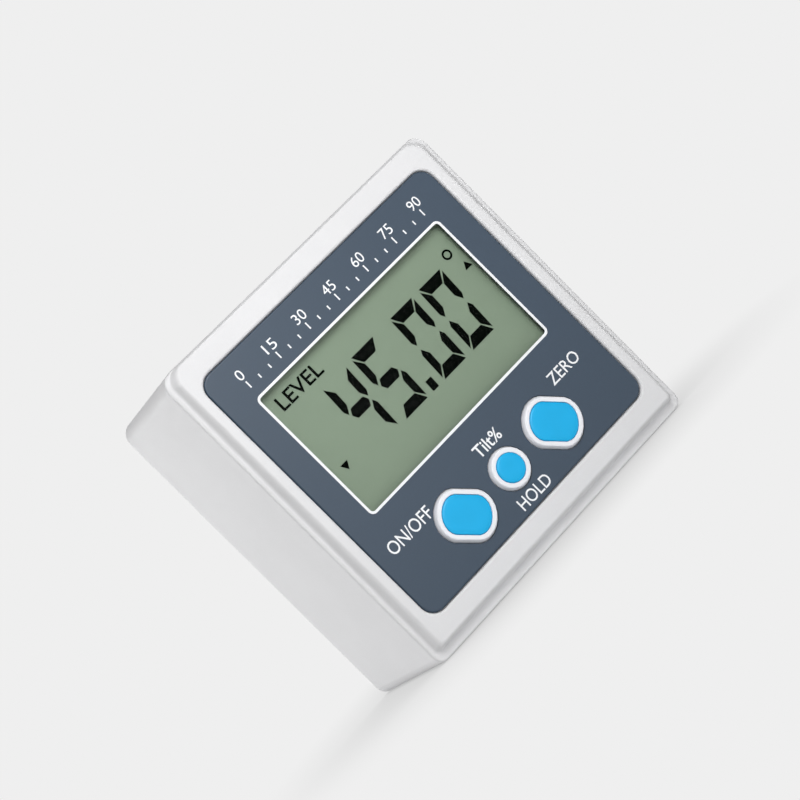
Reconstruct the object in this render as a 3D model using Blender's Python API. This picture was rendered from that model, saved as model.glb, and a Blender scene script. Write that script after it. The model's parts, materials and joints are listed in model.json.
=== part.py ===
"""Digital angle gauge: a pocket inclinometer with a display, three keys and a magnetic base.

The gauge stands on its flat measuring base. X runs to the right, the front faces -Y and Z points up.
Outlines are drawn as seen from the front. Depths are measured backwards from the front of the bezel.
"""

import math

import bmesh
import bpy

MM = 0.001

# Clearances
FIT = 0.3 * MM
KEY_GAP = 0.12 * MM
SCREW_GAP = 0.1 * MM

# Standard cells that the tray holds
CELL_DIAMETER = 10.5 * MM
CELL_LENGTH = 44.5 * MM
CELL_NUB_RADIUS = 1.9 * MM
CELL_NUB_LENGTH = 0.9 * MM

# Battery tray, contacts and door
TRAY_WALL = 1.2 * MM
TRAY_TOP_ROOM = 0.5 * MM
RAIL_WIDTH = 1.6 * MM
RAIL_HEIGHT = 4.0 * MM
RAIL_LIP = 0.8 * MM
TONGUE_WIDTH = 0.9 * MM
TONGUE_THICKNESS = 0.7 * MM
DOOR_THICKNESS = 1.8 * MM
DOOR_LAP = 0.4 * MM
GRIP_COUNT = 5
GRIP_WIDTH = 1.0 * MM
GRIP_PITCH = 2.2 * MM
GRIP_LENGTH = 16.0 * MM
GRIP_DEPTH = 0.5 * MM
GRIP_BELOW_TOP = 6.0 * MM
CONTACT_THICKNESS = 0.4 * MM
CONTACT_SIZE = 8.6 * MM
CONTACT_TAB_WIDTH = 3.0 * MM
CONTACT_TAB_LENGTH = 2.6 * MM
SPRING_ROOM = 2.8 * MM
SPRING_WIRE = 0.3 * MM
SPRING_WIDE = 3.4 * MM
SPRING_NARROW = 2.0 * MM
SPRING_TURNS = 2.5

# Walls of the case
SIDE_WALL = 2.4 * MM
TOP_WALL = 2.4 * MM
BASE_WALL = 3.4 * MM
FRONT_WALL = 2.0 * MM
CAVITY_RADIUS = 1.5 * MM
TOP_CORNER_RADIUS = 2.4 * MM
BASE_CORNER_RADIUS = 1.8 * MM
BACK_FILLET = 1.8 * MM
RIM_FILLET = 0.45 * MM
EDGE_BREAK = 0.2 * MM

# Bezel that stands out of the front: a curved shoulder, then a ledge down both sides and along the base
LEDGE_SIDE = 1.25 * MM
LEDGE_BASE = 1.6 * MM
LEDGE_FALL = 0.05 * MM
SHOULDER_SIDE = 1.0 * MM
SHOULDER_BASE = 1.1 * MM
SHOULDER_TOP = 0.6 * MM
SHOULDER_CORNER_RADIUS = 0.6 * MM
STEP_TOP = 1.15 * MM
STEP_BASE = 1.85 * MM
SHOULDER_CURVE = ((0.0, 0.0), (0.22, 0.03), (0.42, 0.12), (0.6, 0.32), (0.74, 0.62), (0.86, 0.86), (1.0, 1.0))

# Front panel and the layout of the face, from the base upwards
BEZEL_SIDE = 3.9 * MM
BEZEL_BASE = 5.9 * MM
KEY_ROW_RISE = 7.1 * MM
WINDOW_RISE = 10.4 * MM
WINDOW_HEIGHT = 24.4 * MM
TITLE_BAND = 7.9 * MM
BEZEL_TOP = 4.3 * MM
WINDOW_WIDTH = 42.0 * MM
WINDOW_RADIUS = 0.5 * MM
PANEL_RADIUS = 2.5 * MM
PANEL_SET_BACK = 0.3 * MM
PANEL_THICKNESS = 0.5 * MM
PANEL_ROUND = 0.3 * MM
PANEL_GAP = 0.15 * MM
LIP_ROUND = 0.45 * MM
PANE_SET_BACK = 0.5 * MM

# Window and display
LENS_LAP = 4.0 * MM
LENS_FLANGE = 0.6 * MM
LCD_LAP = 1.95 * MM
GLASS_THICKNESS = 1.1 * MM
GLASS_LEDGE = 2.5 * MM
ZEBRA_THICKNESS = 1.6 * MM
LCD_FRAME_DEPTH = 4.8 * MM
LCD_FRAME_WALL = 1.0 * MM
LOCATING_RIB_HALF = 5.0 * MM

# Keys: the ring's outline, then what each step inwards takes off it
KEY_SPACING = 10.6 * MM
LARGE_STRAIGHT = 1.6 * MM
LARGE_ROUND = 3.52 * MM
LARGE_FLAT = 4.22 * MM
SMALL_RADIUS = 3.5 * MM
RING_WIDTH = 1.15 * MM
RING_SLOPE = 0.25 * MM
RING_PROUD = 0.45 * MM
RING_ROUND = 0.1 * MM
KEY_PROUD = 0.55 * MM
KEY_CROWN = ((0.9 * MM, 0.0), (0.4 * MM, 0.02 * MM), (0.1 * MM, 0.08 * MM), (0.0, 0.18 * MM))
KEY_FLANGE = 0.9 * MM
KEY_FLANGE_DEPTH = 0.8 * MM
KEY_STEM_RADIUS = 1.4 * MM
FLAT_TURN = math.radians(45.0)

# Switches under the keys
SWITCH_SIZE = 6.0 * MM
SWITCH_DEPTH = 2.9 * MM
PLUNGER_RADIUS = 1.6 * MM
PLUNGER_OUT = 0.7 * MM
PLUNGER_IN = 1.5 * MM
PLUNGER_TRAVEL_ROOM = 0.8 * MM

# Circuit board and what it carries
BOARD_THICKNESS = 1.6 * MM
BOARD_ROOM = 0.7 * MM
PART_ROOM = 8.7 * MM
CHIP_SIZE = 9.0 * MM
CHIP_DEPTH = 1.5 * MM
SENSOR_SIZE = 5.0 * MM
SENSOR_DEPTH = 1.8 * MM
CRYSTAL_LENGTH = 10.0 * MM
CRYSTAL_WIDTH = 4.4 * MM
CRYSTAL_CORNER = 2.0 * MM
CRYSTAL_DEPTH = 3.4 * MM
CAPACITOR_RADIUS = 2.5 * MM
CAPACITOR_DEPTH = 5.2 * MM
PART_ROW_DROP = 9.0 * MM
PART_PITCH = 11.0 * MM

# Posts, screws and leads
POST_RADIUS = 2.0 * MM
POST_INSET = 5.6 * MM
LOW_POST_RISE = 2.5 * MM
KEY_TO_POST = 8.0 * MM
POST_TO_PILLAR = 5.5 * MM
PILLAR_RADIUS = 2.4 * MM
PILLAR_INSET = 5.8 * MM
PILLAR_RISE = 3.4 * MM
RIB_THICKNESS = 1.0 * MM
POST_ROOT = 0.5 * MM
BOARD_SCREW_RADIUS = 0.9 * MM
BOARD_SCREW_LENGTH = 4.6 * MM
BOARD_HEAD_RADIUS = 1.9 * MM
BOARD_HEAD_DEPTH = 1.2 * MM
COVER_SCREW_RADIUS = 1.1 * MM
COVER_SCREW_LENGTH = 8.0 * MM
COVER_HEAD_RADIUS = 2.1 * MM
COVER_HEAD_DEPTH = 0.9 * MM
SCREW_POINT = 0.4 * MM
SCREW_HEAD_EDGE = 0.3 * MM
SLOT_WIDTH = 0.5 * MM
LEAD_RADIUS = 0.55 * MM
LEAD_SAG = 0.4

# Base magnets
MAGNET_RADIUS = 5.0 * MM
MAGNET_THICKNESS = 2.0 * MM
MAGNET_SPACING = 34.0 * MM
MAGNET_GAP = 0.15 * MM

# Facets
CORNER_STEPS = 6
FILLET_STEPS = 3
OVAL_STEPS = 12
ROUND_STEPS = 20
OVERCUT = 1.0 * MM

# Depths, worked out from the front backwards
PANEL_BACK = PANEL_SET_BACK + PANEL_THICKNESS
RECESS_FLOOR = PANEL_BACK + FIT
FRONT_WALL_BACK = RECESS_FLOOR + FRONT_WALL
LENS_BACK = PANEL_BACK + FIT + LENS_FLANGE
LCD_FRONT = LENS_BACK + FIT
LCD_BACK = LCD_FRONT + 2 * GLASS_THICKNESS
LCD_FRAME_FRONT = LCD_BACK + FIT
BOARD_FRONT = LCD_FRAME_FRONT + LCD_FRAME_DEPTH + FIT
BOARD_BACK = BOARD_FRONT + BOARD_THICKNESS
TRAY_FRONT = BOARD_BACK + PART_ROOM
BAY_FLOOR = TRAY_FRONT + TRAY_WALL
CELL_AXIS_DEPTH = BAY_FLOOR + FIT + CELL_DIAMETER / 2
DOOR_FRONT = CELL_AXIS_DEPTH + CELL_DIAMETER / 2 + FIT
BODY_DEPTH = DOOR_FRONT + DOOR_THICKNESS
COVER_FRONT = DOOR_FRONT
ORIGIN_DEPTH = (BODY_DEPTH - KEY_PROUD) / 2

# Widths, worked out from what the case holds
BAY_LENGTH = CELL_LENGTH + SPRING_ROOM + 2 * CONTACT_THICKNESS + 3 * FIT
TRAY_LENGTH = BAY_LENGTH + 2 * TRAY_WALL
LENS_WIDTH = WINDOW_WIDTH + 2 * LENS_LAP
LCD_WIDTH = WINDOW_WIDTH + 2 * LCD_LAP
LCD_FRAME_WIDTH = LCD_WIDTH + 2 * LCD_FRAME_WALL
DOOR_ROOM = TRAY_LENGTH + 2 * (RAIL_WIDTH + FIT)
DISPLAY_ROOM = LCD_FRAME_WIDTH + 2 * (RIB_THICKNESS + POST_RADIUS)
KEY_ROOM = 2 * (KEY_SPACING + KEY_TO_POST + POST_TO_PILLAR + PILLAR_INSET - SIDE_WALL)
CAVITY_WIDTH = max(DOOR_ROOM, DISPLAY_ROOM, KEY_ROOM)
BODY_WIDTH = CAVITY_WIDTH + 2 * SIDE_WALL
HALF_WIDTH = BODY_WIDTH / 2
HALF_CAVITY = CAVITY_WIDTH / 2
PANEL_WIDTH = BODY_WIDTH - 2 * BEZEL_SIDE

# Heights, worked out from the base upwards
KEY_ROW = BEZEL_BASE + KEY_ROW_RISE
WINDOW_BASE = KEY_ROW + WINDOW_RISE
WINDOW_TOP = WINDOW_BASE + WINDOW_HEIGHT
WINDOW_MIDDLE = (WINDOW_BASE + WINDOW_TOP) / 2
PANEL_TOP = WINDOW_TOP + TITLE_BAND
BODY_HEIGHT = PANEL_TOP + BEZEL_TOP
CAVITY_TOP = BODY_HEIGHT - TOP_WALL
BAY_TOP = CAVITY_TOP - TRAY_TOP_ROOM - TRAY_WALL
BAY_BASE = BAY_TOP - 2 * CELL_DIAMETER - 3 * FIT
TRAY_BASE = BAY_BASE - TRAY_WALL
DOOR_BASE = TRAY_BASE - DOOR_LAP
LOWER_CELL = BAY_BASE + FIT + CELL_DIAMETER / 2
UPPER_CELL = LOWER_CELL + CELL_DIAMETER + FIT
LENS_HEIGHT = WINDOW_HEIGHT + 2 * LENS_LAP
LCD_HEIGHT = WINDOW_HEIGHT + 2 * LCD_LAP
LCD_FRAME_HEIGHT = LCD_HEIGHT + 2 * LCD_FRAME_WALL
BOARD_BASE = BASE_WALL + BOARD_ROOM
BOARD_TOP = CAVITY_TOP - BOARD_ROOM

KEYS = (("on_off", -KEY_SPACING, False), ("hold", 0.0, True), ("zero", KEY_SPACING, False))
MAGNETS = (("left", -MAGNET_SPACING / 2), ("right", MAGNET_SPACING / 2))


def rounded_rectangle(low_x, high_x, low_z, high_z, radii, steps=CORNER_STEPS):
    """Outline of a rectangle; radii are for the top right, top left, base left and base right corners."""
    points = []
    corners = ((high_x, high_z), (low_x, high_z), (low_x, low_z), (high_x, low_z))
    for index, ((x, z), radius) in enumerate(zip(corners, radii)):
        centre_x = x - math.copysign(radius, x - (low_x + high_x) / 2)
        centre_z = z - math.copysign(radius, z - (low_z + high_z) / 2)
        for step in range(steps + 1):
            angle = math.radians(90.0) * (index + step / steps)
            points.append((centre_x + radius * math.cos(angle), centre_z + radius * math.sin(angle)))
    return points


def centred_rectangle(width, height, middle_x, middle_z, radius, steps=CORNER_STEPS):
    """Outline of a rectangle about a middle point, with one radius at every corner."""
    return rounded_rectangle(middle_x - width / 2, middle_x + width / 2,
                             middle_z - height / 2, middle_z + height / 2, (radius,) * 4, steps)


def box_outline(low_a, high_a, low_b, high_b):
    """Outline of a plain rectangle."""
    return [(high_a, high_b), (low_a, high_b), (low_a, low_b), (high_a, low_b)]


def circle(radius, centre_a=0.0, centre_b=0.0, steps=ROUND_STEPS):
    """Outline of a circle."""
    turns = [2 * math.pi * index / steps for index in range(steps)]
    return [(centre_a + radius * math.cos(turn), centre_b + radius * math.sin(turn)) for turn in turns]


def key_outline(small, inset, centre_x=0.0, centre_z=0.0):
    """Outline of a key: round if small, otherwise an oval with two straight flats set across a corner."""
    if small:
        straight, end, flat = 0.0, SMALL_RADIUS - inset, SMALL_RADIUS - inset
    else:
        straight, end, flat = LARGE_STRAIGHT, LARGE_ROUND - inset, LARGE_FLAT - inset
    points = []
    for side in (1, -1):
        for step in range(OVAL_STEPS):
            angle = math.pi * ((step + 0.5) / OVAL_STEPS - 0.5)
            along = side * (straight + end * math.cos(angle))
            across = side * flat * math.sin(angle)
            x = along * math.cos(FLAT_TURN) + across * math.sin(FLAT_TURN)
            z = across * math.cos(FLAT_TURN) - along * math.sin(FLAT_TURN)
            points.append((centre_x + x, centre_z + z))
    return points


def at_depth(outline, depth):
    """Places a front-view outline at a depth, which may be a function of the height."""
    if callable(depth):
        return [(x, depth(z), z) for x, z in outline]
    return [(x, depth, z) for x, z in outline]


def at_height(outline, height):
    """Places an outline of (x, depth) points at a height."""
    return [(x, y, height) for x, y in outline]


def at_side(outline, place):
    """Places an outline of (depth, height) points at a place along X."""
    return [(place, y, z) for y, z in outline]


def face_outwards(shape, faces):
    """Turns the faces of one closed body outwards."""
    bmesh.ops.recalc_face_normals(shape, faces=faces)
    for face in faces:
        face.normal_update()
    if sum(face.calc_center_median().dot(face.normal) * face.calc_area() for face in faces) < 0:
        bmesh.ops.reverse_faces(shape, faces=faces)


def loft(sections, ring=False, into=None):
    """Skins a row of outlines that have equal numbers of points; a ring joins the last to the first."""
    shape = into or bmesh.new()
    rows = [[shape.verts.new(point) for point in section] for section in sections]
    following = rows[1:] + rows[:1] if ring else rows[1:]
    faces = []
    for first, second in zip(rows, following):
        for index in range(len(first)):
            faces.append(shape.faces.new((first[index - 1], first[index], second[index], second[index - 1])))
    if not ring:
        faces.append(shape.faces.new(reversed(rows[0])))
        faces.append(shape.faces.new(rows[-1]))
    face_outwards(shape, faces)
    return shape


def block(low, high, into=None):
    """A plain box between two corners."""
    outline = box_outline(low[0], high[0], low[2], high[2])
    return loft([at_depth(outline, low[1]), at_depth(outline, high[1])], into=into)


def fillet(radius, steps=FILLET_STEPS):
    """Pairs of (inset, setback) along a quarter round, from the flat side to the wall."""
    pairs = []
    for step in range(steps + 1):
        angle = math.radians(90.0) * step / steps
        pairs.append((radius * (1 - math.sin(angle)), radius * (1 - math.cos(angle))))
    return pairs


def material(name, colour, roughness, metallic=0.0, alpha=1.0):
    """A Principled material with one colour."""
    made = bpy.data.materials.new(name)
    made.use_nodes = True
    shader = made.node_tree.nodes["Principled BSDF"]
    shader.inputs["Base Color"].default_value = (*colour, 1.0)
    shader.inputs["Roughness"].default_value = roughness
    shader.inputs["Metallic"].default_value = metallic
    shader.inputs["Alpha"].default_value = alpha
    return made


def finished(name, shape, finish, parent, location=(0.0, 0.0, 0.0), sharp=30.0):
    """Turns a bmesh into a named, smooth-shaded object under its parent."""
    mesh = bpy.data.meshes.new(name)
    shape.to_mesh(mesh)
    shape.free()
    mesh.shade_smooth()
    mesh.set_sharp_from_angle(angle=math.radians(sharp))
    made = bpy.data.objects.new(name, mesh)
    bpy.context.scene.collection.objects.link(made)
    made.parent = parent
    made.location = location
    if finish:
        mesh.materials.append(finish)
    return made


def apply_tool(target, name, shape, operation="DIFFERENCE"):
    """Cuts a shape out of an object, or joins it on, with a hidden tool beside the object."""
    tool = finished(f"{target.name}_{name}", shape, None, target.parent, target.location)
    tool.hide_render = True
    tool.display_type = "WIRE"
    change = target.modifiers.new(name, "BOOLEAN")
    change.operation = operation
    change.solver = "EXACT"
    change.object = tool


def step_depth(height):
    """Depth of the ledge, which falls away from the bezel towards the base."""
    return STEP_BASE + (STEP_TOP - STEP_BASE) * height / BODY_HEIGHT


def case_outline(inset, top_inset):
    """Outline of the case, moved inwards at the sides and base, and by an amount of its own at the top."""
    top = max(TOP_CORNER_RADIUS - inset, EDGE_BREAK)
    base = max(BASE_CORNER_RADIUS - inset, EDGE_BREAK)
    return rounded_rectangle(inset - HALF_WIDTH, HALF_WIDTH - inset, inset, BODY_HEIGHT - top_inset,
                             (top, top, base, base))


def bezel_outline(share):
    """Outline of the bezel at a share of its shoulder, from 0 at the flat to 1 at the foot."""
    rest = 1.0 - share
    half = HALF_WIDTH - LEDGE_SIDE - SHOULDER_SIDE * rest
    low = LEDGE_BASE + SHOULDER_BASE * rest
    high = BODY_HEIGHT - SHOULDER_TOP * rest
    base = SHOULDER_CORNER_RADIUS
    return rounded_rectangle(-half, half, low, high, (TOP_CORNER_RADIUS, TOP_CORNER_RADIUS, base, base))


def case_solid():
    """The case before it is hollowed: bezel, curved shoulder, ledge, walls and rounded back edge."""
    sections = []
    for share, fall in SHOULDER_CURVE:
        sections.append(at_depth(bezel_outline(share), lambda z, part=fall: step_depth(z) * part))
    for inset, setback in fillet(RIM_FILLET):
        drop = LEDGE_FALL + setback
        sections.append(at_depth(case_outline(inset, 0.0), lambda z, back=drop: step_depth(z) + back))
    for inset, setback in reversed(fillet(BACK_FILLET)):
        sections.append(at_depth(case_outline(inset, inset), BODY_DEPTH - setback))
    return loft(sections)


def panel_outline(grow=0.0):
    """Outline of the front panel, or of the recess that takes it."""
    return rounded_rectangle(-PANEL_WIDTH / 2 - grow, PANEL_WIDTH / 2 + grow, BEZEL_BASE - grow,
                             PANEL_TOP + grow, (PANEL_RADIUS + grow,) * 4)


def post_places():
    """Places of the four board posts, as (name, x, z)."""
    high_x = HALF_WIDTH - POST_INSET
    high_z = BODY_HEIGHT - POST_INSET
    low_x = HALF_WIDTH - PILLAR_INSET - POST_TO_PILLAR
    low_z = BASE_WALL + LOW_POST_RISE
    return (("upper_left", -high_x, high_z), ("upper_right", high_x, high_z),
            ("lower_left", -low_x, low_z), ("lower_right", low_x, low_z))


def pillar_places():
    """Places of the two pillars that take the cover screws, as (name, x, z)."""
    x = HALF_WIDTH - PILLAR_INSET
    z = BASE_WALL + PILLAR_RISE
    return (("left", -x, z), ("right", x, z))


def door_channel(grow):
    """Outline across the door and its tongues, as (x, depth), with room added all round."""
    half = TRAY_LENGTH / 2 - TONGUE_WIDTH / 2 + grow
    wide = half + TONGUE_WIDTH
    front = DOOR_FRONT - grow
    tongue = DOOR_FRONT + TONGUE_THICKNESS + grow
    back = BODY_DEPTH + (OVERCUT if grow else 0.0)
    return [(half, back), (-half, back), (-half, tongue), (-wide, tongue),
            (-wide, front), (wide, front), (wide, tongue), (half, tongue)]


def channel_cutter():
    """Room for the door, from its foot out through the top of the case."""
    outline = door_channel(FIT)
    return loft([at_height(outline, DOOR_BASE - FIT), at_height(outline, BODY_HEIGHT + OVERCUT)])


def build_housing(finish, parent):
    """One moulding: stepped front, four walls, board posts, cover pillars and magnet pockets."""
    housing = finished("housing", case_solid(), finish, parent)
    cavity = rounded_rectangle(-HALF_CAVITY, HALF_CAVITY, BASE_WALL, CAVITY_TOP, (CAVITY_RADIUS,) * 4)
    apply_tool(housing, "cavity",
               loft([at_depth(cavity, FRONT_WALL_BACK), at_depth(cavity, BODY_DEPTH + OVERCUT)]))
    root = FRONT_WALL_BACK - POST_ROOT
    stands = bmesh.new()
    for _, x, z in post_places():
        outline = circle(POST_RADIUS, x, z)
        loft([at_depth(outline, root), at_depth(outline, BOARD_FRONT - FIT)], into=stands)
    for _, x, z in pillar_places():
        outline = circle(PILLAR_RADIUS, x, z)
        loft([at_depth(outline, root), at_depth(outline, COVER_FRONT - FIT)], into=stands)
    apply_tool(housing, "stands", stands, "UNION")
    ribs = bmesh.new()
    for _, x, z in pillar_places():
        outer = math.copysign(HALF_CAVITY + POST_ROOT, x)
        block((min(x, outer), root, z - RIB_THICKNESS / 2),
              (max(x, outer), COVER_FRONT - 2 * FIT, z + RIB_THICKNESS / 2), into=ribs)
    for side in (-1, 1):
        inner = side * (LCD_FRAME_WIDTH / 2 + FIT)
        outer = inner + side * RIB_THICKNESS
        block((min(inner, outer), root, WINDOW_MIDDLE - LOCATING_RIB_HALF),
              (max(inner, outer), BOARD_FRONT - 2 * FIT, WINDOW_MIDDLE + LOCATING_RIB_HALF), into=ribs)
    apply_tool(housing, "ribs", ribs, "UNION")
    recess = [at_depth(panel_outline(PANEL_GAP + LIP_ROUND), -OVERCUT)]
    for grow, depth in fillet(LIP_ROUND):
        recess.append(at_depth(panel_outline(PANEL_GAP + grow), depth))
    recess.append(at_depth(panel_outline(PANEL_GAP), RECESS_FLOOR))
    apply_tool(housing, "panel_recess", loft(recess))
    seat = centred_rectangle(LENS_WIDTH + 2 * FIT, LENS_HEIGHT + 2 * FIT, 0.0, WINDOW_MIDDLE, PANEL_RADIUS)
    apply_tool(housing, "window_seat", loft([at_depth(seat, PANEL_BACK), at_depth(seat, LCD_FRONT)]))
    opening = centred_rectangle(LCD_WIDTH + 2 * FIT, LCD_HEIGHT + 2 * FIT, 0.0, WINDOW_MIDDLE, WINDOW_RADIUS)
    apply_tool(housing, "display_opening",
               loft([at_depth(opening, LENS_BACK), at_depth(opening, FRONT_WALL_BACK + OVERCUT)]))
    holes = bmesh.new()
    for _, x, small in KEYS:
        outline = key_outline(small, RING_WIDTH - FIT, x, KEY_ROW)
        loft([at_depth(outline, PANEL_BACK), at_depth(outline, FRONT_WALL_BACK + OVERCUT)], into=holes)
    apply_tool(housing, "key_holes", holes)
    pilots = bmesh.new()
    for _, x, z in post_places():
        outline = circle(BOARD_SCREW_RADIUS + SCREW_GAP, x, z)
        foot = BOARD_BACK - BOARD_SCREW_LENGTH - FIT
        loft([at_depth(outline, foot), at_depth(outline, BOARD_FRONT)], into=pilots)
    for _, x, z in pillar_places():
        outline = circle(COVER_SCREW_RADIUS + SCREW_GAP, x, z)
        foot = COVER_FRONT - COVER_SCREW_LENGTH
        loft([at_depth(outline, foot), at_depth(outline, COVER_FRONT)], into=pilots)
    apply_tool(housing, "pilot_holes", pilots)
    apply_tool(housing, "door_channel", channel_cutter())
    pockets = bmesh.new()
    for _, x in MAGNETS:
        outline = circle(MAGNET_RADIUS + MAGNET_GAP, x, BODY_DEPTH / 2, steps=2 * ROUND_STEPS)
        loft([at_height(outline, -OVERCUT), at_height(outline, MAGNET_THICKNESS + FIT)], into=pockets)
    apply_tool(housing, "magnet_pockets", pockets)


def build_panel(finish, parent):
    """Printed front sheet with a rounded edge, and openings for the window and the three key rings."""
    sections = []
    for inset, setback in fillet(PANEL_ROUND):
        sections.append(at_depth(panel_outline(-inset), PANEL_SET_BACK + setback))
    sections.append(at_depth(panel_outline(), PANEL_BACK))
    panel = finished("face_overlay", loft(sections), finish, parent)
    openings = bmesh.new()
    outline = centred_rectangle(WINDOW_WIDTH, WINDOW_HEIGHT, 0.0, WINDOW_MIDDLE, WINDOW_RADIUS)
    loft([at_depth(outline, -OVERCUT), at_depth(outline, RECESS_FLOOR)], into=openings)
    for _, x, small in KEYS:
        outline = key_outline(small, -KEY_GAP, x, KEY_ROW)
        loft([at_depth(outline, -OVERCUT), at_depth(outline, RECESS_FLOOR)], into=openings)
    apply_tool(panel, "openings", openings)


def build_window(finish, parent):
    """Clear window: a raised pane in the panel's opening, on a wider flange behind the panel."""
    width = WINDOW_WIDTH - 2 * KEY_GAP
    height = WINDOW_HEIGHT - 2 * KEY_GAP
    pane = centred_rectangle(width, height, 0.0, WINDOW_MIDDLE, WINDOW_RADIUS)
    flange = centred_rectangle(LENS_WIDTH, LENS_HEIGHT, 0.0, WINDOW_MIDDLE, PANEL_RADIUS)
    step = PANEL_BACK + FIT
    finished("display_window", loft([at_depth(pane, PANE_SET_BACK), at_depth(pane, step),
                                     at_depth(flange, step), at_depth(flange, LENS_BACK)]), finish, parent)


def build_display(finishes, parent):
    """Liquid crystal cell, the frame behind it and the two contact strips."""
    half = LCD_WIDTH / 2
    front_half = LCD_HEIGHT / 2
    rear_half = front_half - GLASS_LEDGE
    front_glass = box_outline(-half, half, WINDOW_MIDDLE - front_half, WINDOW_MIDDLE + front_half)
    rear_glass = box_outline(-half, half, WINDOW_MIDDLE - rear_half, WINDOW_MIDDLE + rear_half)
    joint = LCD_FRONT + GLASS_THICKNESS
    cell = loft([at_depth(front_glass, LCD_FRONT), at_depth(front_glass, joint),
                 at_depth(rear_glass, joint), at_depth(rear_glass, LCD_BACK)])
    finished("lcd_cell", cell, finishes["lcd"], parent)
    outer = centred_rectangle(LCD_FRAME_WIDTH, LCD_FRAME_HEIGHT, 0.0, WINDOW_MIDDLE, LCD_FRAME_WALL)
    back = LCD_FRAME_FRONT + LCD_FRAME_DEPTH
    solid = loft([at_depth(outer, LCD_FRAME_FRONT), at_depth(outer, back)])
    frame = finished("lcd_frame", solid, finishes["frame"], parent)
    slots = bmesh.new()
    middle = centred_rectangle(LCD_WIDTH - 2 * GLASS_LEDGE, 2 * (rear_half - LCD_FRAME_WALL - FIT),
                               0.0, WINDOW_MIDDLE, LCD_FRAME_WALL)
    loft([at_depth(middle, LCD_FRAME_FRONT - OVERCUT), at_depth(middle, back + OVERCUT)], into=slots)
    strip_length = LCD_WIDTH - 2 * LCD_FRAME_WALL
    for name, side in (("upper", 1), ("lower", -1)):
        height = WINDOW_MIDDLE + side * (LCD_HEIGHT / 2 - GLASS_LEDGE / 2)
        thickness = ZEBRA_THICKNESS + 2 * KEY_GAP
        slot = centred_rectangle(strip_length + 2 * FIT, thickness, 0.0, height, SCREW_GAP, steps=1)
        loft([at_depth(slot, LCD_FRAME_FRONT - OVERCUT), at_depth(slot, back + OVERCUT)], into=slots)
        strip = box_outline(-strip_length / 2, strip_length / 2,
                            height - ZEBRA_THICKNESS / 2, height + ZEBRA_THICKNESS / 2)
        finished(f"zebra_strip_{name}", loft([at_depth(strip, joint + FIT), at_depth(strip, back)]),
                 finishes["zebra"], parent)
    apply_tool(frame, "slots", slots)


def build_key(name, x, small, finishes, parent):
    """A key, the raised ring round it, and the switch and plunger behind it."""
    def ring_at(inset, depth):
        return at_depth(key_outline(small, inset), depth)

    place = (x, 0.0, KEY_ROW)
    inner = RING_WIDTH - KEY_GAP
    ring = loft([ring_at(0.0, PANEL_BACK), ring_at(0.0, PANEL_SET_BACK),
                 ring_at(RING_SLOPE, RING_ROUND - RING_PROUD), ring_at(RING_SLOPE + EDGE_BREAK, -RING_PROUD),
                 ring_at(inner - RING_ROUND, -RING_PROUD), ring_at(inner, RING_ROUND - RING_PROUD),
                 ring_at(inner, PANEL_BACK)], ring=True)
    finished(f"{name}_key_ring", ring, finishes["ring"], parent, place)
    flange_front = FRONT_WALL_BACK + FIT
    flange_back = flange_front + KEY_FLANGE_DEPTH
    mouth = BOARD_FRONT - FIT - SWITCH_DEPTH
    tip = mouth - PLUNGER_OUT
    cap = [ring_at(RING_WIDTH + inset, setback - KEY_PROUD) for inset, setback in KEY_CROWN]
    cap += [ring_at(RING_WIDTH, flange_front), ring_at(RING_WIDTH - KEY_FLANGE, flange_front),
            ring_at(RING_WIDTH - KEY_FLANGE, flange_back)]
    stem = circle(KEY_STEM_RADIUS, steps=2 * OVAL_STEPS)
    key = finished(f"{name}_key", loft(cap), finishes["key"], parent, place)
    stem_root = flange_back - KEY_FLANGE_DEPTH / 2
    apply_tool(key, "stem", loft([at_depth(stem, stem_root), at_depth(stem, tip - FIT)]), "UNION")
    plunger = circle(PLUNGER_RADIUS)
    pin = loft([at_depth(circle(PLUNGER_RADIUS - EDGE_BREAK), tip), at_depth(plunger, tip + EDGE_BREAK),
                at_depth(plunger, mouth + PLUNGER_IN)])
    finished(f"{name}_plunger", pin, finishes["plunger"], parent, place)
    square = centred_rectangle(SWITCH_SIZE, SWITCH_SIZE, 0.0, 0.0, 2 * EDGE_BREAK, steps=2)
    switch = finished(f"{name}_switch", loft([at_depth(square, mouth), at_depth(square, BOARD_FRONT - FIT)]),
                      finishes["switch"], parent, place)
    well = circle(PLUNGER_RADIUS + FIT)
    apply_tool(switch, "well", loft([at_depth(well, mouth - OVERCUT),
                                     at_depth(well, mouth + PLUNGER_IN + PLUNGER_TRAVEL_ROOM)]))


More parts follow.
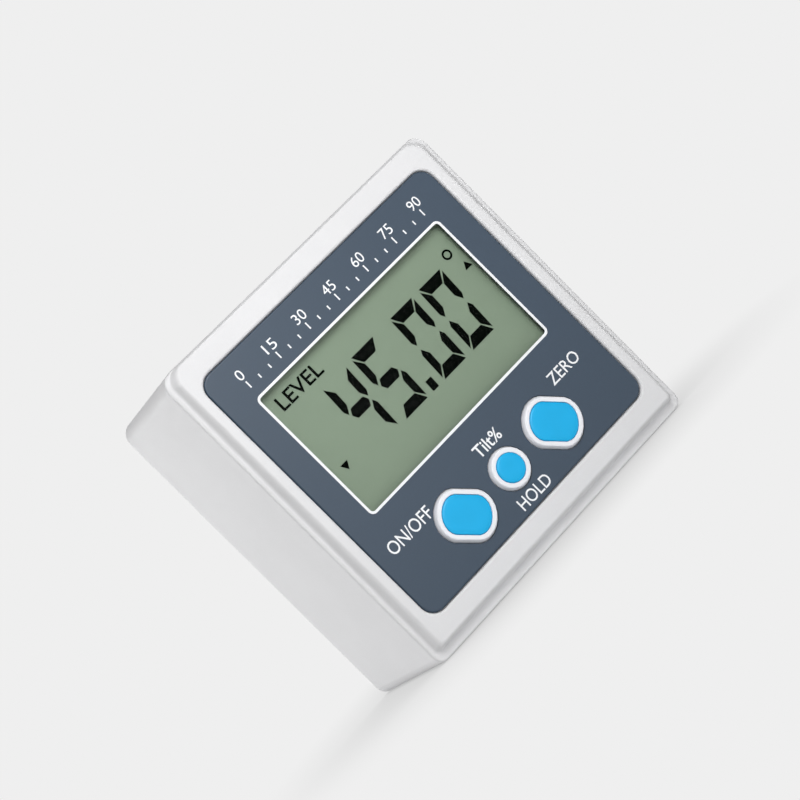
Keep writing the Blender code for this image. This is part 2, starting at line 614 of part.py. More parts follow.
def build_board(finishes, parent):
    """Circuit board with notches for the pillars, and the parts on its back."""
    half = HALF_CAVITY - BOARD_ROOM
    outline = rounded_rectangle(-half, half, BOARD_BASE, BOARD_TOP, (CAVITY_RADIUS,) * 4)
    board = finished("circuit_board", loft([at_depth(outline, BOARD_FRONT), at_depth(outline, BOARD_BACK)]),
                     finishes["board"], parent)
    cuts = bmesh.new()
    reach = PILLAR_RADIUS + BOARD_ROOM
    for _, x, z in pillar_places():
        outer = math.copysign(HALF_WIDTH, x)
        inner = x - math.copysign(reach, x)
        block((min(inner, outer), BOARD_FRONT - OVERCUT, 0.0),
              (max(inner, outer), BOARD_BACK + OVERCUT, z + reach), into=cuts)
    for _, x, z in post_places():
        hole = circle(BOARD_SCREW_RADIUS + FIT, x, z)
        loft([at_depth(hole, BOARD_FRONT - OVERCUT), at_depth(hole, BOARD_BACK + OVERCUT)], into=cuts)
    apply_tool(board, "cuts", cuts)
    seat = BOARD_BACK + FIT
    row = WINDOW_MIDDLE - PART_ROW_DROP
    chip = centred_rectangle(CHIP_SIZE, CHIP_SIZE, 0.0, row, EDGE_BREAK, steps=1)
    package = loft([at_depth(chip, seat), at_depth(chip, seat + CHIP_DEPTH)])
    finished("processor_chip", package, finishes["chip"], parent)
    sensor = centred_rectangle(SENSOR_SIZE, SENSOR_SIZE, -PART_PITCH, row, EDGE_BREAK, steps=1)
    package = loft([at_depth(sensor, seat), at_depth(sensor, seat + SENSOR_DEPTH)])
    finished("tilt_sensor", package, finishes["chip"], parent)
    middle = PART_PITCH + CRYSTAL_WIDTH / 2
    can = centred_rectangle(CRYSTAL_LENGTH, CRYSTAL_WIDTH, middle, row, CRYSTAL_CORNER)
    package = loft([at_depth(can, seat), at_depth(can, seat + CRYSTAL_DEPTH)])
    finished("crystal", package, finishes["can"], parent)
    crown = seat + CAPACITOR_DEPTH
    for name, side in (("left", -1), ("right", 1)):
        shell = circle(CAPACITOR_RADIUS, side * PART_PITCH / 2, row - PART_PITCH)
        top = circle(CAPACITOR_RADIUS - EDGE_BREAK, side * PART_PITCH / 2, row - PART_PITCH)
        body = loft([at_depth(shell, seat), at_depth(shell, crown - EDGE_BREAK), at_depth(top, crown)])
        finished(f"capacitor_{name}", body, finishes["can"], parent)


def build_screw(name, x, z, head_front, sizes, finish, parent):
    """A slotted screw whose head lies behind what it holds; sizes are shank, length, head and head depth."""
    shank, length, head, head_depth = sizes
    tip = head_front - length
    head_back = head_front + head_depth
    sections = [at_depth(circle(shank - SCREW_POINT), tip), at_depth(circle(shank), tip + SCREW_POINT),
                at_depth(circle(shank), head_front), at_depth(circle(head), head_front),
                at_depth(circle(head), head_back - SCREW_HEAD_EDGE),
                at_depth(circle(head - SCREW_HEAD_EDGE), head_back)]
    screw = finished(name, loft(sections), finish, parent, (x, 0.0, z))
    apply_tool(screw, "slot", block((-2 * head, head_back - head_depth / 2, -SLOT_WIDTH / 2),
                                    (2 * head, head_back + OVERCUT, SLOT_WIDTH / 2)))


def build_cover(finish, parent):
    """Back plate and battery tray in one moulding, with rails for the door."""
    half = HALF_CAVITY - FIT
    radius = CAVITY_RADIUS - FIT
    plate = rounded_rectangle(-half, half, BASE_WALL + FIT, CAVITY_TOP - FIT, (radius,) * 4)
    slab = loft([at_depth(plate, COVER_FRONT), at_depth(plate, BODY_DEPTH)])
    cover = finished("back_cover", slab, finish, parent)
    rails = rounded_rectangle(-half, half, TRAY_BASE, CAVITY_TOP - FIT, (radius,) * 4)
    rail_block = loft([at_depth(rails, BODY_DEPTH - RAIL_HEIGHT), at_depth(rails, BODY_DEPTH - RAIL_LIP)])
    apply_tool(cover, "rail_block", rail_block, "UNION")
    middle = (BAY_TOP + BAY_BASE) / 2
    tray = centred_rectangle(TRAY_LENGTH, BAY_TOP - BAY_BASE + 2 * TRAY_WALL, 0.0, middle, TRAY_WALL)
    tray_block = loft([at_depth(tray, TRAY_FRONT), at_depth(tray, COVER_FRONT + RAIL_LIP)])
    apply_tool(cover, "tray_block", tray_block, "UNION")
    bay = centred_rectangle(BAY_LENGTH, BAY_TOP - BAY_BASE, 0.0, middle, TRAY_WALL / 2)
    apply_tool(cover, "bay", loft([at_depth(bay, BAY_FLOOR), at_depth(bay, BODY_DEPTH + OVERCUT)]))
    apply_tool(cover, "door_channel", channel_cutter())
    slots = bmesh.new()
    inner = BAY_LENGTH / 2 - 2 * FIT - CONTACT_THICKNESS
    half_slot = CONTACT_TAB_WIDTH / 2 + FIT
    for height in (LOWER_CELL, UPPER_CELL):
        block((inner, TRAY_FRONT - OVERCUT, height - half_slot),
              (BAY_LENGTH / 2, BAY_FLOOR + OVERCUT, height + half_slot), into=slots)
    apply_tool(cover, "tab_slots", slots)
    holes = bmesh.new()
    seat = BODY_DEPTH - COVER_HEAD_DEPTH - FIT
    for _, x, z in pillar_places():
        outline = circle(COVER_SCREW_RADIUS + FIT, x, z)
        loft([at_depth(outline, COVER_FRONT - OVERCUT), at_depth(outline, seat + FIT)], into=holes)
    apply_tool(cover, "screw_holes", holes)
    sinks = bmesh.new()
    for _, x, z in pillar_places():
        outline = circle(COVER_HEAD_RADIUS + FIT, x, z)
        loft([at_depth(outline, seat), at_depth(outline, BODY_DEPTH + OVERCUT)], into=sinks)
    apply_tool(cover, "screw_sinks", sinks)


def build_door(finish, parent):
    """Sliding door with a tongue down each side and a ribbed thumb grip."""
    outline = door_channel(0.0)
    top = BODY_HEIGHT
    slab = loft([at_height(outline, DOOR_BASE), at_height(outline, top)])
    door = finished("battery_door", slab, finish, parent)
    corner = [(BODY_DEPTH + OVERCUT, top + OVERCUT), (BODY_DEPTH + OVERCUT, top - BACK_FILLET)]
    corner += [(BODY_DEPTH - setback, top - inset) for inset, setback in fillet(BACK_FILLET)]
    corner += [(BODY_DEPTH - BACK_FILLET, top + OVERCUT)]
    apply_tool(door, "top_round", loft([at_side(corner, -HALF_WIDTH), at_side(corner, HALF_WIDTH)]))
    grooves = bmesh.new()
    for index in range(GRIP_COUNT):
        middle = top - GRIP_BELOW_TOP - index * GRIP_PITCH
        block((-GRIP_LENGTH / 2, BODY_DEPTH - GRIP_DEPTH, middle - GRIP_WIDTH / 2),
              (GRIP_LENGTH / 2, BODY_DEPTH + OVERCUT, middle + GRIP_WIDTH / 2), into=grooves)
    apply_tool(door, "grip", grooves)


def build_cells(finish, parent):
    """Two cells side by side, the upper one turned end for end."""
    radius = CELL_DIAMETER / 2
    start = -BAY_LENGTH / 2 + FIT + CONTACT_THICKNESS + SPRING_ROOM
    edge = 2 * EDGE_BREAK
    nub = CELL_LENGTH - CELL_NUB_LENGTH
    for name, height, side in (("lower", LOWER_CELL, 1), ("upper", UPPER_CELL, -1)):
        profile = ((0.0, radius - edge), (edge, radius), (nub - edge, radius), (nub, radius - edge),
                   (nub, CELL_NUB_RADIUS), (CELL_LENGTH, CELL_NUB_RADIUS))
        sections = [at_side(circle(wide, CELL_AXIS_DEPTH, height), side * (start + along))
                    for along, wide in profile]
        finished(f"battery_{name}", loft(sections), finish, parent)


def spring_points(start, side, height):
    """Path of a conical spring from its wide foot to its narrow tip."""
    points = []
    count = int(SPRING_TURNS * OVAL_STEPS)
    reach = SPRING_ROOM - 2 * FIT - 2 * SPRING_WIRE
    for index in range(count + 1):
        share = index / count
        angle = 2 * math.pi * SPRING_TURNS * share
        radius = SPRING_WIDE + (SPRING_NARROW - SPRING_WIDE) * share
        points.append((start + side * (FIT + SPRING_WIRE + reach * share),
                       CELL_AXIS_DEPTH + radius * math.cos(angle), height + radius * math.sin(angle)))
    return points


def wire(name, points, radius, finish, parent):
    """A round wire along a row of points."""
    curve = bpy.data.curves.new(name, "CURVE")
    curve.dimensions = "3D"
    curve.bevel_depth = radius
    curve.bevel_resolution = 1
    curve.use_fill_caps = True
    spline = curve.splines.new("POLY")
    spline.points.add(len(points) - 1)
    for point, place in zip(spline.points, points):
        point.co = (*place, 1.0)
    made = bpy.data.objects.new(name, curve)
    bpy.context.scene.collection.objects.link(made)
    made.parent = parent
    curve.materials.append(finish)


def build_contacts(finishes, parent):
    """Plates at both ends of the bay, and a conical spring for each cell's flat end."""
    inner = BAY_LENGTH / 2 - FIT
    low = BAY_FLOOR + FIT
    high = CELL_AXIS_DEPTH + CONTACT_SIZE / 2
    bridge = box_outline(low, high, LOWER_CELL - CONTACT_SIZE / 2, UPPER_CELL + CONTACT_SIZE / 2)
    finished("contact_bridge", loft([at_side(bridge, -inner), at_side(bridge, CONTACT_THICKNESS - inner)]),
             finishes["plated"], parent)
    for name, height in (("positive", LOWER_CELL), ("negative", UPPER_CELL)):
        half, tab = CONTACT_SIZE / 2, CONTACT_TAB_WIDTH / 2
        end = TRAY_FRONT - CONTACT_TAB_LENGTH
        outline = [(high, height + half), (low, height + half), (low, height + tab), (end, height + tab),
                   (end, height - tab), (low, height - tab), (low, height - half), (high, height - half)]
        plate = loft([at_side(outline, inner - CONTACT_THICKNESS), at_side(outline, inner)])
        finished(f"contact_{name}", plate, finishes["plated"], parent)
    face = inner - CONTACT_THICKNESS
    wire("spring_lower", spring_points(-face, 1, LOWER_CELL), SPRING_WIRE, finishes["plated"], parent)
    wire("spring_upper", spring_points(face, -1, UPPER_CELL), SPRING_WIRE, finishes["plated"], parent)


def lead_points(height):
    """Path of a lead from the end of a contact's tab, round a loose bend, to the board."""
    start_x = BAY_LENGTH / 2 - FIT - CONTACT_THICKNESS - FIT - LEAD_RADIUS
    start_y = TRAY_FRONT - FIT - LEAD_RADIUS
    end_y = BOARD_BACK + FIT
    bend = (start_y - end_y) / 2
    points = [(start_x, start_y, height)]
    for step in range(OVAL_STEPS + 1):
        angle = math.pi / 2 * step / OVAL_STEPS
        fall = LEAD_SAG + (1 - LEAD_SAG) * math.sin(angle)
        points.append((start_x - 2 * bend * (1 - math.cos(angle)), start_y - bend * fall, height))
    points.append((start_x - 2 * bend - LEAD_RADIUS, end_y + bend * (1 - LEAD_SAG), height))
    points.append((start_x - 2 * bend - 2 * LEAD_RADIUS, end_y, height))
    return points


def build_magnets(finish, parent):
    """Two disc magnets, set flush in the measuring base."""
    for name, x in MAGNETS:
        edge = circle(MAGNET_RADIUS - EDGE_BREAK, x, BODY_DEPTH / 2, steps=2 * ROUND_STEPS)
        disc = circle(MAGNET_RADIUS, x, BODY_DEPTH / 2, steps=2 * ROUND_STEPS)
        solid = loft([at_height(edge, 0.0), at_height(disc, EDGE_BREAK), at_height(disc, MAGNET_THICKNESS)])
        finished(f"magnet_{name}", solid, finish, parent)


def build_gauge():
    """Builds every piece of the gauge."""
    for old in list(bpy.data.objects):
        bpy.data.objects.remove(old)
    root = bpy.data.objects.new("gauge", None)
    bpy.context.scene.collection.objects.link(root)
    root.location = (0.0, -ORIGIN_DEPTH, 0.0)
    silver = material("silver_paint", (0.78, 0.78, 0.79), 0.38, 0.25)
    black = material("black_plastic", (0.03, 0.03, 0.033), 0.55)
    steel = material("plated_steel", (0.72, 0.72, 0.70), 0.3, 1.0)
    build_housing(silver, root)
    build_panel(material("slate_panel", (0.075, 0.1, 0.15), 0.45), root)
    build_window(material("clear_window", (0.9, 0.95, 0.95), 0.05, 0.0, 0.15), root)
    build_display({"lcd": material("display_glass", (0.23, 0.29, 0.22), 0.25), "frame": black,
                   "zebra": material("strip_rubber", (0.3, 0.1, 0.1), 0.8)}, root)
    keys = {"ring": material("white_ring", (0.85, 0.87, 0.92), 0.4),
            "key": material("blue_key", (0.02, 0.42, 0.85), 0.4),
            "plunger": material("white_plunger", (0.8, 0.8, 0.78), 0.5), "switch": black}
    for name, x, small in KEYS:
        build_key(name, x, small, keys, root)
    build_board({"board": material("board_green", (0.03, 0.2, 0.07), 0.4), "chip": black, "can": steel}, root)
    build_cover(silver, root)
    build_door(silver, root)
    build_cells(material("cell_sleeve", (0.1, 0.1, 0.12), 0.35), root)
    build_contacts({"plated": steel}, root)
    red = material("red_lead", (0.6, 0.03, 0.03), 0.5)
    wire("lead_positive", lead_points(LOWER_CELL), LEAD_RADIUS, red, root)
    wire("lead_negative", lead_points(UPPER_CELL), LEAD_RADIUS, black, root)
    board_sizes = (BOARD_SCREW_RADIUS, BOARD_SCREW_LENGTH, BOARD_HEAD_RADIUS, BOARD_HEAD_DEPTH)
    for name, x, z in post_places():
        build_screw(f"board_screw_{name}", x, z, BOARD_BACK + FIT, board_sizes, steel, root)
    cover_sizes = (COVER_SCREW_RADIUS, COVER_SCREW_LENGTH, COVER_HEAD_RADIUS, COVER_HEAD_DEPTH)
    for name, x, z in pillar_places():
        build_screw(f"cover_screw_{name}", x, z, BODY_DEPTH - COVER_HEAD_DEPTH, cover_sizes, steel, root)
    build_magnets(material("magnet_nickel", (0.65, 0.65, 0.66), 0.25, 1.0), root)


build_gauge()
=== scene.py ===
"""Looks of a pocket angle gauge: finishes, printing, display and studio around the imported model.

The gauge stands on its measuring base with its display facing -Y, X to the right and Z up, in metres.
The camera is rolled by half a right angle, as in the photograph, where the gauge stands on a corner.
"""

import json
import logging
import math
from abc import ABC, abstractmethod
from dataclasses import dataclass
from enum import Enum
from functools import cache
from typing import Callable, Optional, Sequence, Union

import bmesh
import bpy
from mathutils import Matrix, Vector


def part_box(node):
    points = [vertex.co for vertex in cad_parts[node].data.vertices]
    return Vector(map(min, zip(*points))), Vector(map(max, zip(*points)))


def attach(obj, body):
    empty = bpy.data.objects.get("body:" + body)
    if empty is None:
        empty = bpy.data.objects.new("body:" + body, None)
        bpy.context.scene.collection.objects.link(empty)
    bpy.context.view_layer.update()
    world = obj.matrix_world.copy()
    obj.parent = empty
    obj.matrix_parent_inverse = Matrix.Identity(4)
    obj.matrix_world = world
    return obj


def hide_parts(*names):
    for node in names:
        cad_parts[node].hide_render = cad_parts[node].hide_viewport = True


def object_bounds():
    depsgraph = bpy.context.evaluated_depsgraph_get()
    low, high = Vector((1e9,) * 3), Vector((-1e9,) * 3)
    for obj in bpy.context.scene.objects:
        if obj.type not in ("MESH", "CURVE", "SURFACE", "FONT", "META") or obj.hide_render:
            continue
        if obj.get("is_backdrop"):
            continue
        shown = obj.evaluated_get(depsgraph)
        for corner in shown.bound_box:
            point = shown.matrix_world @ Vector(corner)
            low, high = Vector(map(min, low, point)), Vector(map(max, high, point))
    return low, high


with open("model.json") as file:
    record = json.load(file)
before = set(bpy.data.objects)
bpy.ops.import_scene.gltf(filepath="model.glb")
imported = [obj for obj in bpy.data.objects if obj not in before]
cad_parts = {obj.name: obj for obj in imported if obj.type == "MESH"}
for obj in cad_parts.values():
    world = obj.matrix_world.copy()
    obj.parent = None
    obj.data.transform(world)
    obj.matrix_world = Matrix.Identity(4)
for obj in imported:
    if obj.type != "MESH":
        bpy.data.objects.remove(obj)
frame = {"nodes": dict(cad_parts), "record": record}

MM = 0.001
MERGE_DISTANCE = 0.002 * MM
FLAT_ANGLE = math.radians(0.5)
SHARP_DEGREES = 40.0
CORNER_STEPS = 8
RING_STEPS = 48
UPRIGHT = Matrix.Rotation(math.radians(90.0), 4, "X")
LOG = logging.getLogger("angle_gauge")

Triple = tuple[float, float, float]
Colour = Triple
Place = tuple[float, float]
Shape = bmesh.types.BMesh


class Wire:
    """A shader socket that stands in a Python expression and adds the Math nodes for it."""

    def __init__(self, graph: "Graph", socket: bpy.types.NodeSocket) -> None:
        """Holds an output socket and the graph that it belongs to."""
        self.graph = graph
        self.socket = socket

    def maths(self, operation: str, *terms: "Term") -> "Wire":
        """Adds one Math node with its inputs in order, and gives its result."""
        return self.graph.add("ShaderNodeMath", {"operation": operation}, dict(enumerate(terms)))

    def __add__(self, other: "Term") -> "Wire":
        """Sum."""
        return self.maths("ADD", self, other)

    def __radd__(self, other: "Term") -> "Wire":
        """Sum with a plain number first."""
        return self.maths("ADD", other, self)

    def __sub__(self, other: "Term") -> "Wire":
        """Difference."""
        return self.maths("SUBTRACT", self, other)

    def __rsub__(self, other: "Term") -> "Wire":
        """Difference from a plain number."""
        return self.maths("SUBTRACT", other, self)

    def __mul__(self, other: "Term") -> "Wire":
        """Product."""
        return self.maths("MULTIPLY", self, other)

    def __gt__(self, other: "Term") -> "Wire":
        """One where this is the greater, otherwise nought."""
        return self.maths("GREATER_THAN", self, other)

    def __abs__(self) -> "Wire":
        """Size without sign."""
        return self.maths("ABSOLUTE", self)

    def sine(self) -> "Wire":
        """Sine of an angle in radians."""
        return self.maths("SINE", self)

    def share(self, low: float, high: float) -> "Wire":
        """Rises smoothly from nought at low to one at high."""
        sockets = {"Value": self, "From Min": low, "From Max": high}
        return self.graph.add("ShaderNodeMapRange", {"interpolation_type": "SMOOTHSTEP"}, sockets)


Term = Union[Wire, float]
Input = Union[Wire, float, Sequence[float]]


class Graph:
    """The node graph of a material or of the world."""

    DIRECT_RAYS = ("Camera", "Glossy", "Transmission")

    def __init__(self, owner: Union[bpy.types.Material, bpy.types.World]) -> None:
        """Turns the owner's nodes on.

        Args:
            owner: The material or world.
        """
        owner.use_nodes = True
        self.owner = owner
        self.tree = owner.node_tree
        self.shader = self.tree.nodes.get("Principled BSDF")

    def add(self, kind: str, settings: dict, sockets: dict, output: Union[int, str] = 0) -> Wire:
        """Adds any node.

        Args:
            kind: The node's type.
            settings: Its properties, set first; stops is a ramp's list of places and colours.
            sockets: Values or wires for its inputs, by name or number.
            output: The output to give back.

        Returns:
            The wire from that output.
        """
        node = self.tree.nodes.new(kind)
        for name, value in settings.items():
            if name == "stops":
                self._set_stops(node.color_ramp, value)
            else:
                setattr(node, name, value)
        for name, value in sockets.items():
            self.feed(node.inputs[name], value)
        return Wire(self, node.outputs[output])

    @staticmethod
    def _set_stops(ramp: bpy.types.ColorRamp, stops: Sequence[tuple[float, Colour]]) -> None:
        """Sets the stops of a ramp.

        Args:
            ramp: The ramp.
            stops: Pairs of place and colour.
        """
        while len(ramp.elements) < len(stops):
            ramp.elements.new(1.0)
        for element, (place, colour) in zip(ramp.elements, stops):
            element.position = place
            element.color = (*colour, 1.0)

    def feed(self, socket: bpy.types.NodeSocket, value: Input) -> None:
        """Links a wire to an input, or sets its value.

        Args:
            socket: The input.
            value: A wire, a number, a vector or a colour.
        """
        if isinstance(value, Wire):
            self.tree.links.new(value.socket, socket)
        elif socket.type == "RGBA":
            socket.default_value = (*value, 1.0)
        else:
            socket.default_value = value

    def place(self) -> Wire:
        """Object coordinates."""
        return self.add("ShaderNodeTexCoord", {}, {}, "Object")

    def axis(self, letter: str) -> Wire:
        """One of the object coordinates, X, Y or Z, in metres."""
        return self.add("ShaderNodeSeparateXYZ", {}, {0: self.place()}, letter)

    def noise(self, grain: float, detail: float = 2.0, stretch: Sequence[float] = (1.0, 1.0, 1.0)) -> Wire:
        """Soft noise.

        Args:
            grain: Size of one lump, in metres.
            detail: Octaves of finer noise.
            stretch: How many times closer the lumps are along each axis.

        Returns:
            Values about one half.
        """
        factors = {0: self.place(), 1: tuple(stretch)}
        vector = self.add("ShaderNodeVectorMath", {"operation": "MULTIPLY"}, factors)
        return self.add("ShaderNodeTexNoise", {}, {"Vector": vector, "Scale": 1.0 / grain, "Detail": detail})

    def cells(self, grain: float, output: str = "Distance") -> Wire:
        """Cell noise of a grain in metres: the Distance to the cell's middle, or its Color."""
        return self.add("ShaderNodeTexVoronoi", {}, {"Vector": self.place(), "Scale": 1.0 / grain}, output)

    def speckle(self, grain: float, channel: int) -> Wire:
        """A random value for every cell, from one of its colour's three channels."""
        return self.add("ShaderNodeSeparateColor", {}, {0: self.cells(grain, "Color")}, channel)

    def mix(self, share: Input, first: Input, second: Input) -> Wire:
        """Blends two colours by the share of the second."""
        return self.add("ShaderNodeMix", {"data_type": "RGBA"}, {0: share, 6: first, 7: second}, 2)

    def finish(self, surface: Wire) -> None:
        """Feeds the output with a shader of its own."""
        output = next(node for node in self.tree.nodes if "Output" in node.bl_idname)
        self.feed(output.inputs["Surface"], surface)

    def seen_directly(self) -> Wire:
        """One for camera, mirror and see-through rays, otherwise nought."""
        rays = [self.add("ShaderNodeLightPath", {}, {}, f"Is {kind} Ray") for kind in self.DIRECT_RAYS]
        return (rays[0] + rays[1] + rays[2]) > 0.5

    def bump(self, height: Wire, depth: float) -> None:
        """Feeds the shader's normal with a relief from nought to one, where one is a depth in metres."""
        relief = self.add("ShaderNodeBump", {}, {"Strength": 1.0, "Distance": depth, "Height": height})
        self.feed(self.shader.inputs["Normal"], relief)

    def set(self, **sockets: Input) -> None:
        """Feeds the shader's inputs, named with underscores for spaces."""
        for name, value in sockets.items():
            self.feed(self.shader.inputs[name.replace("_", " ")], value)


def shade(colour: Colour, amount: float) -> Colour:
    """A colour with each channel multiplied by an amount."""
    return tuple(min(1.0, channel * amount) for channel in colour)


@dataclass(frozen=True)
class Patches:
    """Soft patches that bring in another tone of a colour."""

    size: float
    low: float
    high: float
    strength: float
    tone: float
    detail: float = 2.0
    stretch: Triple = (1.0, 1.0, 1.0)

    def noise(self, graph: Graph) -> Wire:
        """The noise that the patches are made of."""
        return graph.noise(self.size, self.detail, self.stretch)

    def share(self, noise: Wire) -> Wire:
        """The patches that a noise makes, from nought to one."""
        return noise.share(self.low, self.high)

    def blend(self, graph: Graph, base: Input, colour: Colour, noise: Optional[Wire] = None) -> Wire:
        """Blends the patches over a base, as a tone of the colour, by a given noise or their own."""
        share = self.share(noise or self.noise(graph))
        return graph.mix(share * self.strength, base, shade(colour, self.tone))


@dataclass(frozen=True)
class Finish(ABC):
    """A surface finish that can be made into a material."""

    name: str
    colour: Colour
    roughness: float
    gloss: float = 0.5
    unevenness: float = 0.1

    @abstractmethod
    def dress(self, graph: Graph) -> None:
        """Builds the finish in a graph.

        Args:
            graph: The graph of its material.
        """

    def uneven(self, share: Wire) -> Wire:
        """The roughness with a share of the unevenness added."""
        return self.roughness + share * self.unevenness

    def make(self) -> bpy.types.Material:
        """Makes the material.

        Returns:
            The finished material.
        """
        graph = Graph(bpy.data.materials.new(self.name))
        graph.set(Specular_IOR_Level=self.gloss)
        self.dress(graph)
        return graph.owner


@dataclass(frozen=True)
class SatinPaint(Finish):
    """Sprayed satin paint with fine flake, a little orange peel and soft handling marks."""

    unevenness: float = 0.12
    cloud: Patches = Patches(14.0 * MM, low=0.35, high=0.7, strength=0.7, tone=0.97, detail=3.0)
    flake: Patches = Patches(0.09 * MM, low=0.7, high=1.0, strength=0.5, tone=1.05)
    peel: float = 1.1 * MM
    peel_depth: float = 0.006 * MM
    peel_share: float = 0.8
    mark: float = 4.0 * MM
    mark_detail: float = 4.0
    mark_stretch: Triple = (1.0, 1.0, 3.0)

    def dress(self, graph: Graph) -> None:
        """Builds the paint.

        Args:
            graph: The graph of its material.
        """
        flake = graph.speckle(self.flake.size, 0)
        toned = self.cloud.blend(graph, self.colour, self.colour)
        marks = graph.noise(self.mark, self.mark_detail, self.mark_stretch)
        graph.set(Base_Color=self.flake.blend(graph, toned, self.colour, flake),
                  Roughness=self.uneven(marks - 0.5))
        relief = graph.noise(self.peel, 1.0) * self.peel_share + flake * (1.0 - self.peel_share)
        graph.bump(relief, self.peel_depth)


@dataclass(frozen=True)
class PrintedSheet(Finish):
    """Screen-printed plastic sheet with a fine matt grain."""

    unevenness: float = 0.15
    grain: Patches = Patches(0.22 * MM, low=0.45, high=0.75, strength=0.25, tone=1.25)
    grain_depth: float = 0.004 * MM
    cloud: Patches = Patches(18.0 * MM, low=0.3, high=0.7, strength=0.5, tone=0.93)

    def dress(self, graph: Graph) -> None:
        """Builds the sheet.

        Args:
            graph: The graph of its material.
        """
        grain = self.grain.noise(graph)
        toned = self.cloud.blend(graph, self.colour, self.colour)
        graph.set(Base_Color=self.grain.blend(graph, toned, self.colour, grain),
                  Roughness=self.uneven(grain - 0.5))
        graph.bump(grain, self.grain_depth)


@dataclass(frozen=True)
class MouldedPlastic(Finish):
    """Moulded plastic with a faint spark-eroded grain and slow waves."""

    grain: float = 0.15 * MM
    grain_depth: float = 0.003 * MM
    grain_share: float = 0.7
    wave: Patches = Patches(3.0 * MM, low=0.3, high=0.8, strength=0.5, tone=0.94, detail=1.0)

    def dress(self, graph: Graph) -> None:
        """Builds the plastic.

        Args:
            graph: The graph of its material.
        """
        wave = self.wave.noise(graph)
        colour = self.wave.blend(graph, self.colour, self.colour, wave)
        graph.set(Base_Color=colour, Roughness=self.uneven(wave - 0.5))
        relief = graph.noise(self.grain) * self.grain_share + wave * (1.0 - self.grain_share)
        graph.bump(relief, self.grain_depth)


@dataclass(frozen=True)
class ClearPane(Finish):
    """Clear acrylic that shows what lies behind it and keeps a soft gloss."""

    unevenness: float = 0.05
    alpha: float = 0.035
    veil: float = 0.01
    veil_range: Place = (0.45, 0.85)
    smear: float = 6.0 * MM
    smear_detail: float = 3.0
    smear_stretch: Triple = (1.0, 1.0, 2.0)
    smear_range: Place = (0.5, 0.8)

    def dress(self, graph: Graph) -> None:
        """Builds the pane.

        Args:
            graph: The graph of its material.
        """
        smear = graph.noise(self.smear, self.smear_detail, self.smear_stretch)
        graph.set(Base_Color=self.colour, Roughness=self.uneven(smear.share(*self.smear_range)),
                  Alpha=self.alpha + smear.share(*self.veil_range) * self.veil)


@dataclass(frozen=True)
class DisplayGlass(Finish):
    """Reflective display: grey-green, with a fine sparkle from the reflector film."""

    cloud: Patches = Patches(12.0 * MM, low=0.3, high=0.8, strength=0.6, tone=0.95)
    sparkle: float = 0.12 * MM
    sparkle_strength: float = 0.1
    sparkle_tone: float = 1.3

    def dress(self, graph: Graph) -> None:
        """Builds the display.

        Args:
            graph: The graph of its material.
        """
        sparkle = graph.speckle(self.sparkle, 1)
        toned = self.cloud.blend(graph, self.colour, self.colour)
        bright = shade(self.colour, self.sparkle_tone)
        graph.set(Base_Color=graph.mix(sparkle * self.sparkle_strength, toned, bright),
                  Roughness=self.uneven(sparkle - 0.5))


@dataclass(frozen=True)
class Ink(Finish):
    """Printed ink, solid with a slightly uneven edge to its gloss."""

    mottle: Patches = Patches(0.4 * MM, low=0.4, high=0.8, strength=0.5, tone=0.95)

    def dress(self, graph: Graph) -> None:
        """Builds the ink.

        Args:
            graph: The graph of its material.
        """
        mottle = self.mottle.noise(graph)
        colour = self.mottle.blend(graph, self.colour, self.colour, mottle)
        graph.set(Base_Color=colour, Roughness=self.uneven(mottle - 0.5))


@dataclass(frozen=True)
class PlatedMetal(Finish):
    """Plated metal with fine drawn scratches."""

    unevenness: float = 0.15
    tarnish: Patches = Patches(5.0 * MM, low=0.45, high=0.8, strength=0.6, tone=0.85, detail=3.0)
    scratch: float = 0.5 * MM
    scratch_detail: float = 4.0
    scratch_range: Place = (0.4, 0.7)
    stretch: Triple = (1.0, 1.0, 12.0)
    depth: float = 0.003 * MM

    def dress(self, graph: Graph) -> None:
        """Builds the metal.

        Args:
            graph: The graph of its material.
        """
        scratch = graph.noise(self.scratch, self.scratch_detail, self.stretch)
        graph.set(Base_Color=self.tarnish.blend(graph, self.colour, self.colour), Metallic=1.0,
                  Roughness=self.uneven(scratch.share(*self.scratch_range)))
        graph.bump(scratch, self.depth)


@dataclass(frozen=True)
class CellSleeve(Finish):
    """Plain battery sleeve with a band of second colour and bare metal at both ends."""

    unevenness: float = 0.15
    scuff: Patches = Patches(2.5 * MM, low=0.5, high=0.9, strength=0.15, tone=0.6, detail=4.0,
                             stretch=(3.0, 1.0, 1.0))
    band_colour: Colour = (0.42, 0.2, 0.06)
    metal: Colour = (0.72, 0.72, 0.7)
    band_start: float = 10.0 * MM
    sleeve_end: float = 20.8 * MM
    middle: float = 0.0
    way: float = 1.0

    def dress(self, graph: Graph) -> None:
        """Builds the sleeve.

        Args:
            graph: The graph of its material.
        """
        along = (graph.axis("X") - self.middle) * self.way
        scuff = self.scuff.noise(graph)
        sleeve = graph.mix(along > self.band_start, self.colour, self.band_colour)
        worn = self.scuff.blend(graph, sleeve, self.metal, scuff)
        bare = abs(along) > self.sleeve_end
        graph.set(Base_Color=graph.mix(bare, worn, self.metal), Metallic=bare,
                  Roughness=self.uneven(self.scuff.share(scuff)))


